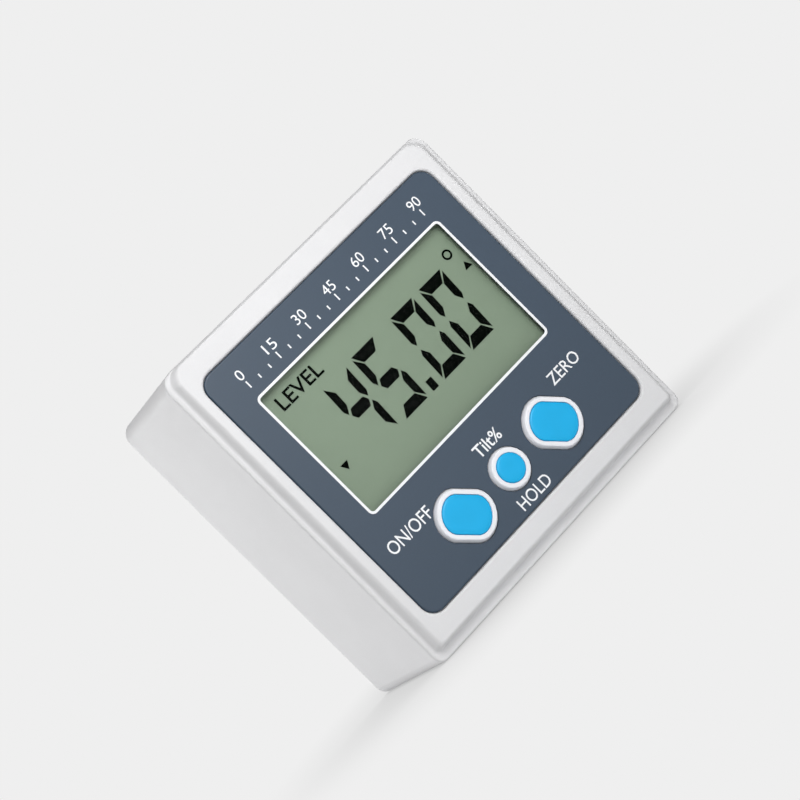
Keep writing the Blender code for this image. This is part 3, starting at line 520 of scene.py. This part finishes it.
@dataclass(frozen=True)
class BoardResist(Finish):
    """Green solder resist over copper tracks."""

    unevenness: float = 0.05
    grain: float = 2.0 * MM
    track: float = 1.27 * MM
    track_height: float = 0.03 * MM
    track_edge: Place = (0.2, 0.4)
    bare_tone: float = 0.75
    region: float = 9.0 * MM
    region_edge: Place = (0.3, 0.35)

    def dress(self, graph: Graph) -> None:
        """Builds the board's surface.

        Args:
            graph: The graph of its material.
        """
        turn = 2.0 * math.pi / self.track
        across = (graph.axis("Z") * turn).sine()
        along = (graph.axis("X") * turn).sine()
        region = graph.cells(self.region).share(*self.region_edge)
        tracks = (across * region + along * (1.0 - region)).share(*self.track_edge)
        graph.set(Base_Color=graph.mix(tracks, shade(self.colour, self.bare_tone), self.colour),
                  Roughness=self.uneven(graph.noise(self.grain)))
        graph.bump(tracks, self.track_height)


@dataclass(frozen=True)
class LayeredRubber(Finish):
    """Rubber strip made of thin conducting and insulating layers across its length."""

    layer: float = 0.18 * MM
    dark: Colour = (0.02, 0.02, 0.02)
    grain: float = 0.3 * MM
    grain_depth: float = 0.01 * MM

    def dress(self, graph: Graph) -> None:
        """Builds the rubber.

        Args:
            graph: The graph of its material.
        """
        layers = (graph.axis("X") * (2.0 * math.pi / self.layer)).sine() > 0.0
        graph.set(Base_Color=graph.mix(layers, self.colour, self.dark), Roughness=self.roughness)
        graph.bump(graph.noise(self.grain), self.grain_depth)


class Coat(Enum):
    """The finishes of the gauge, each made once."""

    SILVER = SatinPaint("satin_silver", (0.78, 0.78, 0.79), 0.6, 0.35)
    SLATE = PrintedSheet("slate_print", (0.035, 0.059, 0.092), 0.4)
    WHITE_INK = Ink("white_ink", (0.94, 0.95, 0.97), 0.5)
    DARK_INK = Ink("segment_black", (0.0012, 0.0022, 0.0014), 0.6, 0.0)
    PANE = ClearPane("clear_pane", (0.02, 0.022, 0.022), 0.08, 0.3)
    DISPLAY = DisplayGlass("display_grey_green", (0.255, 0.334, 0.24), 0.45, 0.3)
    RING = MouldedPlastic("ring_white", (0.9, 0.91, 0.95), 0.38)
    KEY = MouldedPlastic("key_blue", (0.004, 0.45, 0.84), 0.42, 0.35)
    PLUNGER = MouldedPlastic("plunger_white", (0.78, 0.78, 0.75), 0.5)
    BLACK = MouldedPlastic("moulded_black", (0.02, 0.02, 0.022), 0.55, grain_depth=0.006 * MM)
    RED_LEAD = MouldedPlastic("red_insulation", (0.5, 0.02, 0.02), 0.5)
    BOARD = BoardResist("green_resist", (0.02, 0.16, 0.06), 0.35)
    STRIP = LayeredRubber("layered_rubber", (0.25, 0.06, 0.07), 0.75)
    STEEL = PlatedMetal("bright_steel", (0.62, 0.61, 0.58), 0.26)
    MAGNET = PlatedMetal("bright_nickel", (0.6, 0.6, 0.6), 0.22, scratch=0.7 * MM, stretch=(6.0, 1.0, 1.0))

    @cache
    def material(self) -> bpy.types.Material:
        """The finish's material, made on first use."""
        return self.value.make()


BODY_OF = {node: body for body, nodes in frame["record"]["behaviour"]["bodies"].items() for node in nodes}


def finish_piece(name: str, shape: Shape, coat: bpy.types.Material, body: str,
                 sharp: float = SHARP_DEGREES) -> bpy.types.Object:
    """Turns a bmesh into a named piece that rides on a body.

    Args:
        name: The piece's name.
        shape: Its shape, which is used up.
        coat: Its material.
        body: The CAD body that carries it.
        sharp: Angle in degrees above which an edge stays sharp.

    Returns:
        The new object.
    """
    mesh = bpy.data.meshes.new(name)
    shape.to_mesh(mesh)
    shape.free()
    mesh.shade_smooth()
    mesh.set_sharp_from_angle(angle=math.radians(sharp))
    mesh.materials.append(coat)
    piece = bpy.data.objects.new(name, mesh)
    bpy.context.scene.collection.objects.link(piece)
    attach(piece, body)
    LOG.info("made %s", name)
    return piece


def stand_in(node: str, coat: bpy.types.Material, sharp: float = SHARP_DEGREES, grow: float = 0.0,
             reshape: Optional[Callable[[Shape], None]] = None) -> bpy.types.Object:
    """Makes a merged, smooth-shaded copy of a CAD node and shows it in the node's place.

    Args:
        node: The CAD node.
        coat: The material.
        sharp: Angle in degrees above which an edge stays sharp.
        grow: How much wider and taller it is on every side, seen from the front.
        reshape: What alters the merged copy, if anything does.

    Returns:
        The piece.
    """
    shape = bmesh.new()
    shape.from_mesh(frame["nodes"][node].data)
    bmesh.ops.remove_doubles(shape, verts=shape.verts, dist=MERGE_DISTANCE)
    if reshape:
        reshape(shape)
    bmesh.ops.dissolve_limit(shape, angle_limit=FLAT_ANGLE, verts=shape.verts, edges=shape.edges)
    low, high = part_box(node)
    wider = Matrix.Diagonal((1.0 + 2 * grow / (high.x - low.x), 1.0, 1.0 + 2 * grow / (high.z - low.z), 1.0))
    middle = Matrix.Translation((low + high) / 2)
    bmesh.ops.transform(shape, matrix=middle @ wider @ middle.inverted(), verts=shape.verts)
    piece = finish_piece(f"{node}_smooth", shape, coat, BODY_OF[node], sharp)
    evened = piece.modifiers.new("even_normals", "WEIGHTED_NORMAL")
    evened.keep_sharp = True
    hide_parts(node)
    return piece


def dress_node(node: str, coat: bpy.types.Material) -> None:
    """Gives a CAD node that stays shown its material.

    Args:
        node: The CAD node.
        coat: The material.
    """
    materials = frame["nodes"][node].data.materials
    materials.clear()
    materials.append(coat)
    LOG.info("dressed %s", node)


def thicken(shape: Shape, offset: Sequence[float]) -> None:
    """Draws the faces of a flat shape out to a plate.

    Args:
        shape: The flat shape, which is changed.
        offset: Where its second side lies from the first.
    """
    made = bmesh.ops.extrude_face_region(shape, geom=list(shape.faces), use_keep_orig=True)["geom"]
    corners = [item for item in made if isinstance(item, bmesh.types.BMVert)]
    bmesh.ops.translate(shape, verts=corners, vec=offset)


def stand_up(shape: Shape, middle: Place, front: float) -> None:
    """Stands a shape that lies flat up at its middle, so that it faces the front."""
    shape.transform(Matrix.Translation((middle[0], front, middle[1])) @ UPRIGHT)
    bmesh.ops.recalc_face_normals(shape, faces=shape.faces)


def polygon(points: Sequence[Place], front: float, thickness: float) -> Shape:
    """A thin plate with the outline given, seen from the front.

    Args:
        points: The outline's corners, as x and z.
        front: Depth of the front face.
        thickness: How far back the plate reaches.

    Returns:
        The plate.
    """
    shape = bmesh.new()
    shape.faces.new([shape.verts.new((x, front, z)) for x, z in points])
    thicken(shape, (0.0, thickness, 0.0))
    bmesh.ops.recalc_face_normals(shape, faces=shape.faces)
    return shape


def joined(shapes: Sequence[Shape]) -> Shape:
    """Puts several shapes into one.

    Args:
        shapes: The shapes, which are used up.

    Returns:
        One shape that holds them all.
    """
    whole = bmesh.new()
    carrier = bpy.data.meshes.new("carrier")
    for shape in shapes:
        shape.to_mesh(carrier)
        shape.free()
        whole.from_mesh(carrier)
    bpy.data.meshes.remove(carrier)
    return whole


@dataclass(frozen=True)
class Lettering:
    """Printed words or numbers, fitted to a box on the front."""

    CURVE_STEPS = 4
    HALF_DEPTH = 0.5
    WELD_DISTANCE = 0.0001

    words: str
    middle: Place
    width: float
    height: float
    weight: float = 0.0

    def shape(self, front: float, thickness: float) -> Shape:
        """Makes the letters as thin plates.

        Args:
            front: Depth of their front face.
            thickness: How thick they are.

        Returns:
            The letters' shape.
        """
        text = bpy.data.curves.new("words", "FONT")
        text.body = self.words
        text.extrude = self.HALF_DEPTH
        text.offset = self.weight
        text.resolution_u = self.CURVE_STEPS
        carrier = bpy.data.objects.new("words", text)
        bpy.context.scene.collection.objects.link(carrier)
        bpy.context.view_layer.update()
        evaluated = carrier.evaluated_get(bpy.context.evaluated_depsgraph_get())
        shape = bmesh.new()
        shape.from_mesh(evaluated.to_mesh())
        evaluated.to_mesh_clear()
        bpy.data.objects.remove(carrier)
        bpy.data.curves.remove(text)
        bmesh.ops.remove_doubles(shape, verts=shape.verts, dist=self.WELD_DISTANCE)
        low = Vector(min(vert.co[i] for vert in shape.verts) for i in range(3))
        high = Vector(max(vert.co[i] for vert in shape.verts) for i in range(3))
        size = high - low
        scale = Matrix.Diagonal((self.width / size.x, self.height / size.y, thickness, 1.0))
        place = Matrix.Translation((self.middle[0], front + thickness / 2, self.middle[1]))
        shape.transform(place @ UPRIGHT @ scale @ Matrix.Translation(-(low + high) / 2))
        bmesh.ops.recalc_face_normals(shape, faces=shape.faces)
        return shape


def frame_plate(width: float, height: float, radius: float, band: float, middle: Place, front: float,
                thickness: float) -> Shape:
    """A thin rectangular frame with rounded corners, such as a printed border.

    Args:
        width: Overall width.
        height: Overall height.
        radius: Outer corner radius.
        band: Width of the band.
        middle: Its middle, as x and z.
        front: Depth of the front face.
        thickness: How thick it is.

    Returns:
        The frame's shape.
    """
    shape = bmesh.new()
    bmesh.ops.create_grid(shape, x_segments=1, y_segments=1, size=0.5)
    bmesh.ops.scale(shape, vec=(width, height, 1.0), verts=shape.verts)
    bmesh.ops.bevel(shape, geom=list(shape.verts), offset=radius, segments=CORNER_STEPS, profile=0.5,
                    affect="VERTICES", material=-1)
    bmesh.ops.inset_region(shape, faces=list(shape.faces), thickness=band, use_boundary=True,
                           use_even_offset=True)
    inner = [face for face in shape.faces if not any(edge.is_boundary for edge in face.edges)]
    bmesh.ops.delete(shape, geom=inner, context="FACES")
    thicken(shape, (0.0, 0.0, -thickness))
    stand_up(shape, middle, front)
    return shape


def ring_plate(radius: float, band: float, middle: Place, front: float,
               thickness: float) -> Shape:
    """A thin flat ring.

    Args:
        radius: Outer radius.
        band: Width of the band.
        middle: Its middle, as x and z.
        front: Depth of the front face.
        thickness: How thick it is.

    Returns:
        The ring's shape.
    """
    shape = bmesh.new()
    corners = [shape.verts.new((r, 0.0, z)) for r, z in
               ((radius, 0.0), (radius, -thickness), (radius - band, -thickness), (radius - band, 0.0))]
    edges = [shape.edges.new((corners[i - 1], corners[i])) for i in range(len(corners))]
    bmesh.ops.spin(shape, geom=corners + edges, cent=(0.0, 0.0, 0.0), axis=(0.0, 0.0, 1.0),
                   dvec=(0.0, 0.0, 0.0), angle=2.0 * math.pi, steps=RING_STEPS, use_merge=True,
                   use_duplicate=False)
    bmesh.ops.remove_doubles(shape, verts=shape.verts, dist=MERGE_DISTANCE)
    stand_up(shape, middle, front)
    return shape


def eased(share: float) -> float:
    """Rises from nought to one and is level at both ends."""
    return share ** 3 * (10.0 - share * (15.0 - 6.0 * share))


@dataclass
class Case:
    """Housing, rear cover, door and their fasteners."""

    shell_nodes: tuple[str, ...] = ("back_cover", "battery_door")
    screw_nodes: tuple[str, ...] = ("cover_screw_left", "cover_screw_right")
    magnet_nodes: tuple[str, ...] = ("magnet_left", "magnet_right")
    arrow_width: float = 7.0 * MM
    arrow_height: float = 4.0 * MM
    arrow_foot: float = 1.43 * MM
    arrow_apex: float = 1.54 * MM
    arrow_drop: float = 19.0 * MM
    arrow_relief: float = 0.12 * MM
    arrow_root: float = 0.03 * MM
    ledge_side: float = 1.25 * MM
    ledge_base: float = 1.6 * MM
    shoulder_side: float = 1.0 * MM
    shoulder_base: float = 1.1 * MM
    shoulder_top: float = 0.6 * MM
    top_corner: float = 2.4 * MM
    base_corner: float = 0.6 * MM
    step_top: float = 1.15 * MM
    step_base: float = 1.85 * MM
    shoulder_rings: tuple[Place, ...] = (
        (0.22, 0.03), (0.42, 0.12), (0.6, 0.32), (0.74, 0.62), (0.86, 0.86), (1.0, 1.0))
    soft_width: float = 1.7 * MM
    ring_reach: float = 0.02 * MM
    ring_depth: float = 0.005 * MM

    def build(self) -> None:
        """Builds and dresses the case."""
        stand_in("housing", Coat.SILVER.material(), reshape=self.soften_shoulder)
        for node in self.shell_nodes:
            stand_in(node, Coat.SILVER.material())
        for node in self.screw_nodes:
            stand_in(node, Coat.STEEL.material())
        for node in self.magnet_nodes:
            stand_in(node, Coat.MAGNET.material())
        self.build_arrow()

    def soften_shoulder(self, shape: Shape) -> None:
        """Spreads the bezel's shoulder over the ledge at both sides, with a hollow foot.

        Args:
            shape: The merged copy of the housing.
        """
        low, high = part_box("housing")
        for corner in shape.verts:
            across = abs(corner.co.x)
            step = self.step_base + (self.step_top - self.step_base) * corner.co.z / high.z
            for share, fall in self.shoulder_rings:
                if abs(corner.co.y - low.y - step * fall) > self.ring_depth:
                    continue
                side = self.sideways(across, corner.co.z, share, high)
                if side > 0.0:
                    outward = (self.soft_width - self.shoulder_side) * share * side
                    corner.co.x += math.copysign(outward, corner.co.x)
                    corner.co.y += step * (eased(share) - fall) * side
                break

    def sideways(self, across: float, height: float, share: float, high: Vector) -> float:
        """How far a point on one ring of the shoulder faces sideways.

        Args:
            across: The point's distance from the middle.
            height: The point's height.
            share: The ring's share of the shoulder, from the flat to the foot.
            high: The housing's highest corner.

        Returns:
            One on the straight sides, nought above and below, between them round a corner.
        """
        rest = 1.0 - share
        half = high.x - self.ledge_side - self.shoulder_side * rest
        over_top = height - (high.z - self.shoulder_top * rest - self.top_corner)
        under_base = self.ledge_base + self.shoulder_base * rest + self.base_corner - height
        for beyond, radius in ((over_top, self.top_corner), (under_base, self.base_corner)):
            if beyond > self.ring_reach:
                out = across - half + radius
                on_ring = abs(math.hypot(out, beyond) - radius) < self.ring_reach
                return (out / radius) ** 2 if out > 0.0 and on_ring else 0.0
        return 1.0 if abs(across - half) < self.ring_reach else 0.0

    def build_arrow(self) -> None:
        """Raises the opening arrow on the battery door."""
        _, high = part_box("battery_door")
        top = high.z - self.arrow_drop
        foot = top - self.arrow_height
        half = self.arrow_width / 2
        inner = half - self.arrow_foot
        points = [(0.0, top), (half, foot), (inner, foot), (0.0, top - self.arrow_apex), (-inner, foot),
                  (-half, foot)]
        shape = polygon(points, high.y - self.arrow_root, self.arrow_relief)
        finish_piece("door_arrow", shape, Coat.SILVER.material(), "battery_door")


@dataclass
class FrontPanel:
    """Printed sheet with its border, its scale and the labels of the keys."""

    PANE_REACH = 0.1 * MM

    ink_thickness: float = 0.02 * MM
    ink_gap: float = 0.005 * MM
    border_band: float = 0.42 * MM
    border_radius: float = 1.0 * MM
    scale_left: float = -20.3 * MM
    scale_right: float = 20.3 * MM
    scale_base: float = 49.75 * MM
    tick_width: float = 0.24 * MM
    long_tick: float = 1.25 * MM
    short_tick: float = 0.75 * MM
    tick_step: int = 5
    number_step: int = 15
    full_angle: int = 90
    number_height: float = 1.75 * MM
    number_rise: float = 2.55 * MM
    digit_width: float = 1.15 * MM
    labels: tuple[Lettering, ...] = (
        Lettering("ON/OFF", (-18.75 * MM, 17.68 * MM), 9.3 * MM, 2.18 * MM, 0.004),
        Lettering("Tilt%", (0.37 * MM, 18.28 * MM), 5.5 * MM, 2.14 * MM, 0.012),
        Lettering("HOLD", (0.19 * MM, 7.79 * MM), 6.84 * MM, 2.08 * MM, 0.004),
        Lettering("ZERO", (18.53 * MM, 17.7 * MM), 6.64 * MM, 2.05 * MM, 0.004),
    )

    def build(self) -> None:
        """Builds and dresses the panel."""
        stand_in("face_overlay", Coat.SLATE.material())
        sheet_low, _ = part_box("face_overlay")
        front = sheet_low.y - self.ink_gap - self.ink_thickness
        self.print_border(front)
        self.print_scale(front)
        for label in self.labels:
            name = label.words.lower().replace("/", "_").replace("%", "_percent")
            self.print_shape(f"label_{name}", label.shape(front, self.ink_thickness))

    def print_shape(self, name: str, shape: Shape) -> None:
        """Prints a shape in white ink on the sheet."""
        finish_piece(name, shape, Coat.WHITE_INK.material(), "case")

    def print_border(self, front: float) -> None:
        """Prints the border round the window.

        Args:
            front: Depth of the ink's face.
        """
        low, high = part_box("display_window")
        places = [corner.co for corner in frame["nodes"]["display_window"].data.vertices]
        pane = [(place.x, place.z) for place in places if place.y < low.y + self.PANE_REACH]
        width, height = (max(side) - min(side) + 2 * self.border_band for side in zip(*pane))
        middle = ((low.x + high.x) / 2, (low.z + high.z) / 2)
        shape = frame_plate(width, height, self.border_radius, self.border_band, middle, front,
                            self.ink_thickness)
        self.print_shape("window_border", shape)

    def print_scale(self, front: float) -> None:
        """Prints the row of degree marks and numbers above the window.

        Args:
            front: Depth of the ink's face.
        """
        marks = []
        for angle in range(0, self.full_angle + 1, self.tick_step):
            x = self.scale_left + (self.scale_right - self.scale_left) * angle / self.full_angle
            numbered = angle % self.number_step == 0
            top = self.scale_base + (self.long_tick if numbered else self.short_tick)
            left, right = x - self.tick_width / 2, x + self.tick_width / 2
            corners = [(left, self.scale_base), (right, self.scale_base), (right, top), (left, top)]
            marks.append(polygon(corners, front, self.ink_thickness))
            if numbered:
                words = str(angle)
                middle = (x, self.scale_base + self.number_rise)
                number = Lettering(words, middle, self.digit_width * len(words), self.number_height)
                marks.append(number.shape(front, self.ink_thickness))
        self.print_shape("degree_scale", joined(marks))


class Segment(Enum):
    """The seven segments of a digit."""

    TOP = "a"
    UPPER_RIGHT = "b"
    LOWER_RIGHT = "c"
    BASE = "d"
    LOWER_LEFT = "e"
    UPPER_LEFT = "f"
    MIDDLE = "g"


LIT = {"4": "fgbc", "5": "afgcd", "0": "abcdef"}


@dataclass
class SegmentDigit:
    """One seven-segment digit of the display."""

    half_width: float = 2.69 * MM
    half_height: float = 6.3 * MM
    bar: float = 1.9 * MM
    stroke: float = 1.27 * MM
    bar_cut: float = 0.15 * MM
    bar_foot: float = 0.08 * MM
    tip_drop: float = 0.44 * MM
    shoulder_drop: float = 0.18 * MM
    waist_outer: float = 1.25 * MM
    waist_tip: float = 0.4 * MM
    waist_tip_in: float = 0.47 * MM
    waist_inner: float = 1.75 * MM
    middle_reach: float = 1.95 * MM
    middle_shoulder: float = 1.4 * MM
    slant: float = 0.05

    def outline(self, segment: Segment) -> list[Place]:
        """Corners of one segment about the digit's middle.

        Args:
            segment: Which one.

        Returns:
            The corners, before the slant.
        """
        w, h = self.half_width, self.half_height
        inner = w - self.stroke
        if segment in (Segment.TOP, Segment.BASE):
            points = [(w - self.bar_cut, h), (self.bar_cut - w, h), (self.bar_foot - inner, h - self.bar),
                      (inner - self.bar_foot, h - self.bar)]
        elif segment is Segment.MIDDLE:
            reach, shoulder, half = self.middle_reach, self.middle_shoulder, self.bar / 2
            points = [(reach, 0.0), (shoulder, half), (-shoulder, half), (-reach, 0.0), (-shoulder, -half),
                      (shoulder, -half)]
        else:
            points = [(w, h - self.tip_drop), (inner, h - self.bar - self.shoulder_drop),
                      (inner, self.waist_inner), (w - self.waist_tip_in, self.waist_tip),
                      (w, self.waist_outer)]
        across = -1.0 if segment in (Segment.UPPER_LEFT, Segment.LOWER_LEFT) else 1.0
        upright = -1.0 if segment in (Segment.BASE, Segment.LOWER_LEFT, Segment.LOWER_RIGHT) else 1.0
        return [(across * x, upright * z) for x, z in points]

    def shapes(self, lit: str, middle: Place, front: float, thickness: float) -> list[Shape]:
        """The lit segments of a digit.

        Args:
            lit: Letters of the lit segments.
            middle: The digit's middle.
            front: Depth of the front face.
            thickness: How thick they are.

        Returns:
            One shape for each lit segment.
        """
        made = []
        for letter in lit:
            corners = self.outline(Segment(letter))
            points = [(middle[0] + x + self.slant * z, middle[1] + z) for x, z in corners]
            made.append(polygon(points, front, thickness))
        return made


@dataclass
class Display:
    """Window, display glass and what the display shows."""

    film: float = 0.02 * MM
    film_gap: float = 0.02 * MM
    middle_z: float = 35.92 * MM
    digits: tuple[tuple[str, float], ...] = (
        ("4", -9.49 * MM), ("5", -2.68 * MM), ("0", 6.57 * MM), ("0", 13.42 * MM))
    point_middle: Place = (1.62 * MM, 30.57 * MM)
    point_width: float = 1.3 * MM
    point_height: float = 1.93 * MM
    degree_middle: Place = (18.95 * MM, 42.98 * MM)
    degree_radius: float = 0.88 * MM
    degree_band: float = 0.34 * MM
    arrow_up: Place = (20.16 * MM, 39.77 * MM)
    arrow_down: Place = (-17.9 * MM, 31.2 * MM)
    arrow_width: float = 1.57 * MM
    arrow_height: float = 1.31 * MM
    word: Lettering = Lettering("LEVEL", (-14.07 * MM, 44.84 * MM), 9.25 * MM, 2.43 * MM, 0.012)

    def build(self) -> None:
        """Builds and dresses the display."""
        stand_in("display_window", Coat.PANE.material())
        stand_in("lcd_cell", Coat.DISPLAY.material())
        low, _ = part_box("lcd_cell")
        front = low.y - self.film_gap - self.film
        digit = SegmentDigit()
        for index, (figure, x) in enumerate(self.digits, 1):
            lit = digit.shapes(LIT[figure], (x, self.middle_z), front, self.film)
            self.show(f"digit_{index}", joined(lit))
        self.show("decimal_point", self.point(front))
        ring = ring_plate(self.degree_radius, self.degree_band, self.degree_middle, front, self.film)
        self.show("degree_sign", ring)
        self.show("arrow_up", self.triangle(self.arrow_up, 1.0, front))
        self.show("arrow_down", self.triangle(self.arrow_down, -1.0, front))
        self.show("level_word", self.word.shape(front, self.film))

    @staticmethod
    def show(name: str, shape: Shape) -> None:
        """Shows a dark shape on the display."""
        finish_piece(name, shape, Coat.DARK_INK.material(), "case")

    def point(self, front: float) -> Shape:
        """The decimal point, a slanted block.

        Args:
            front: Depth of the front face.

        Returns:
            The block.
        """
        x, z = self.point_middle
        half, rise = self.point_width / 2, self.point_height / 2
        lean = SegmentDigit.slant * rise
        points = [(x - half - lean, z - rise), (x + half - lean, z - rise), (x + half + lean, z + rise),
                  (x - half + lean, z + rise)]
        return polygon(points, front, self.film)

    def triangle(self, middle: Place, way: float, front: float) -> Shape:
        """A small triangle.

        Args:
            middle: Its middle, as x and z.
            way: 1 to point up, -1 to point down.
            front: Depth of the front face.

        Returns:
            The triangle.
        """
        x, z = middle
        half, rise = self.arrow_width / 2, way * self.arrow_height / 2
        return polygon([(x - half, z - rise), (x + half, z - rise), (x, z + rise)], front, self.film)


@dataclass
class Keypad:
    """Key caps, the rings round them and the switches behind."""

    names: tuple[str, ...] = ("on_off", "hold", "zero")
    snugness: float = 0.08 * MM
    sharp: float = 50.0

    def build(self) -> None:
        """Builds and dresses the keys."""
        for name in self.names:
            stand_in(f"{name}_key", Coat.KEY.material(), self.sharp, self.snugness)
            stand_in(f"{name}_key_ring", Coat.RING.material(), self.sharp)
            dress_node(f"{name}_plunger", Coat.PLUNGER.material())
            dress_node(f"{name}_switch", Coat.BLACK.material())


@dataclass
class BatteryBay:
    """Cells, contacts, springs and leads behind the door."""

    cell_ways: tuple[tuple[str, float], ...] = (("battery_lower", 1.0), ("battery_upper", -1.0))
    cell_colour: Colour = (0.012, 0.03, 0.05)
    cell_roughness: float = 0.32
    bare_end: float = 0.9 * MM
    contact_nodes: tuple[str, ...] = (
        "contact_bridge", "contact_positive", "contact_negative", "spring_lower", "spring_upper")

    def build(self) -> None:
        """Builds and dresses what lies in the bay."""
        for node, way in self.cell_ways:
            low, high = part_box(node)
            sleeve = CellSleeve(f"{node}_sleeve", self.cell_colour, self.cell_roughness, way=way,
                                middle=(low.x + high.x) / 2,
                                sleeve_end=(high.x - low.x) / 2 - self.bare_end)
            stand_in(node, sleeve.make())
        for node in self.contact_nodes:
            dress_node(node, Coat.STEEL.material())
        dress_node("lead_positive", Coat.RED_LEAD.material())
        dress_node("lead_negative", Coat.BLACK.material())


@dataclass
class Electronics:
    """Circuit board and the pieces fixed to it."""

    black_nodes: tuple[str, ...] = ("lcd_frame", "processor_chip", "tilt_sensor")
    metal_nodes: tuple[str, ...] = ("crystal", "capacitor_left", "capacitor_right")
    strip_nodes: tuple[str, ...] = ("zebra_strip_upper", "zebra_strip_lower")

    def build(self) -> None:
        """Dresses the inner pieces."""
        dress_node("circuit_board", Coat.BOARD.material())
        for node in self.black_nodes:
            dress_node(node, Coat.BLACK.material())
        for node in self.metal_nodes:
            dress_node(node, Coat.STEEL.material())
        for node in self.strip_nodes:
            dress_node(node, Coat.STRIP.material())
        for node in frame["nodes"]:
            if node.startswith("board_screw_"):
                dress_node(node, Coat.STEEL.material())


@dataclass
class Lamp:
    """One soft area lamp that looks at the gauge, round unless it is given a length."""

    name: str
    place: Triple
    size: float
    power: float
    length: float = 0.0

    def build(self, target: Vector) -> None:
        """Places the lamp.

        Args:
            target: What it looks at.
        """
        light = bpy.data.lights.new(self.name, "AREA")
        light.shape = "ELLIPSE" if self.length else "DISK"
        light.size = self.size
        light.size_y = self.length or self.size
        light.energy = self.power
        lamp = bpy.data.objects.new(self.name, light)
        bpy.context.scene.collection.objects.link(lamp)
        lamp.location = self.place
        lamp.rotation_euler = (target - Vector(self.place)).to_track_quat("-Z", "Y").to_euler()


@dataclass
class Studio:
    """Floor, backdrop light, lamps and camera."""

    backdrop: Colour = (0.863, 0.863, 0.863)
    room: Colour = (1.0, 1.0, 1.0)
    world_strength: float = 0.12
    floor_size: float = 4.0
    # The floor's painted shadow: how far it reaches, how deep it goes and how many samples it takes.
    shadow_reach: float = 0.035
    shadow_depth: float = 0.45
    shadow_samples: int = 16
    image_width: float = 800.0
    sensor: float = 36.0
    focal_pixels: float = 2590.9
    azimuth: float = -22.233
    elevation: float = 1.53
    roll: float = -45.172
    target_x: float = -4.887 * MM
    target_z: float = 32.444 * MM
    distance: float = 395.21 * MM
    clip_start: float = 10.0 * MM
    lamps: tuple[Lamp, ...] = (
        Lamp("front_lamp", (0.0, -0.35, 0.05), 0.3, 0.34),
        Lamp("strip_lamp", (0.0, -0.17, 0.14), 0.05, 0.192, 0.12),
        Lamp("corner_lamp", (-0.07, -0.15, 0.12), 0.08, 0.03),
        Lamp("left_lamp", (-0.30, 0.30, 0.05), 0.3, 1.48),
        Lamp("right_lamp", (0.24, 0.36, 0.10), 0.3, 0.9),
    )

    def build(self) -> None:
        """Builds the studio."""
        self.build_camera()
        self.build_floor()
        self.build_world()
        low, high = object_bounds()
        for lamp in self.lamps:
            lamp.build((low + high) / 2)
        bpy.context.scene.view_settings.view_transform = "Standard"

    def build_camera(self) -> None:
        """Makes the camera at the photograph's viewing angle."""
        turn, lift, roll = (math.radians(angle) for angle in (self.azimuth, self.elevation, self.roll))
        back = Vector((math.sin(turn) * math.cos(lift), -math.cos(turn) * math.cos(lift), math.sin(lift)))
        level = Vector((math.cos(turn), math.sin(turn), 0.0))
        rise = back.cross(level)
        right = level * math.cos(roll) + rise * math.sin(roll)
        up = rise * math.cos(roll) - level * math.sin(roll)
        bezel_low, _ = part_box("housing")
        target = Vector((self.target_x, bezel_low.y, self.target_z))
        data = bpy.data.cameras.new("camera")
        data.sensor_width = self.sensor
        data.lens = self.focal_pixels * self.sensor / self.image_width
        data.clip_start = self.clip_start
        camera = bpy.data.objects.new("camera", data)
        bpy.context.scene.collection.objects.link(camera)
        camera.matrix_world = (Matrix.Translation(target + back * self.distance)
                               @ Matrix((right, up, back)).transposed().to_4x4())
        bpy.context.scene.camera = camera

    def build_floor(self) -> None:
        """Lays the pale floor, which melts into the backdrop and shows a painted soft shadow near the gauge.
        """
        shape = bmesh.new()
        bmesh.ops.create_grid(shape, x_segments=1, y_segments=1, size=self.floor_size / 2)
        mesh = bpy.data.meshes.new("floor")
        shape.to_mesh(mesh)
        shape.free()
        graph = Graph(bpy.data.materials.new("floor_pale"))
        # Painted shadow: ambient occlusion darkens the floor's glow where the gauge is near.
        shadow = graph.add("ShaderNodeAmbientOcclusion", {"samples": self.shadow_samples},
                           {"Distance": self.shadow_reach}, "AO")
        light = 1.0 - (1.0 - shadow) * self.shadow_depth
        glow = graph.add("ShaderNodeEmission", {}, {"Color": self.backdrop, "Strength": light})
        matt = graph.add("ShaderNodeBsdfDiffuse", {}, {"Color": self.backdrop})
        graph.finish(graph.add("ShaderNodeMixShader", {}, {0: graph.seen_directly(), 1: matt, 2: glow}))
        mesh.materials.append(graph.owner)
        floor = bpy.data.objects.new("floor", mesh)
        bpy.context.scene.collection.objects.link(floor)
        floor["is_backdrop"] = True

    def build_world(self) -> None:
        """Lights the room evenly and shows the backdrop's colour behind."""
        world = bpy.data.worlds.new("studio")
        bpy.context.scene.world = world
        graph = Graph(world)
        room = graph.add("ShaderNodeBackground", {}, {"Color": self.room, "Strength": self.world_strength})
        shown = graph.add("ShaderNodeBackground", {}, {"Color": self.backdrop, "Strength": 1.0})
        graph.finish(graph.add("ShaderNodeMixShader", {}, {0: graph.seen_directly(), 1: room, 2: shown}))


def main() -> None:
    """Builds the gauge's looks and its studio, and logs each part as it is built."""
    logging.basicConfig(level=logging.INFO, format="%(name)s: %(message)s")
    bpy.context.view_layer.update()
    for part in (Studio(), Case(), FrontPanel(), Display(), Keypad(), BatteryBay(), Electronics()):
        part.build()
        LOG.info("built %s", type(part).__name__)


if __name__ == "__main__":
    main()
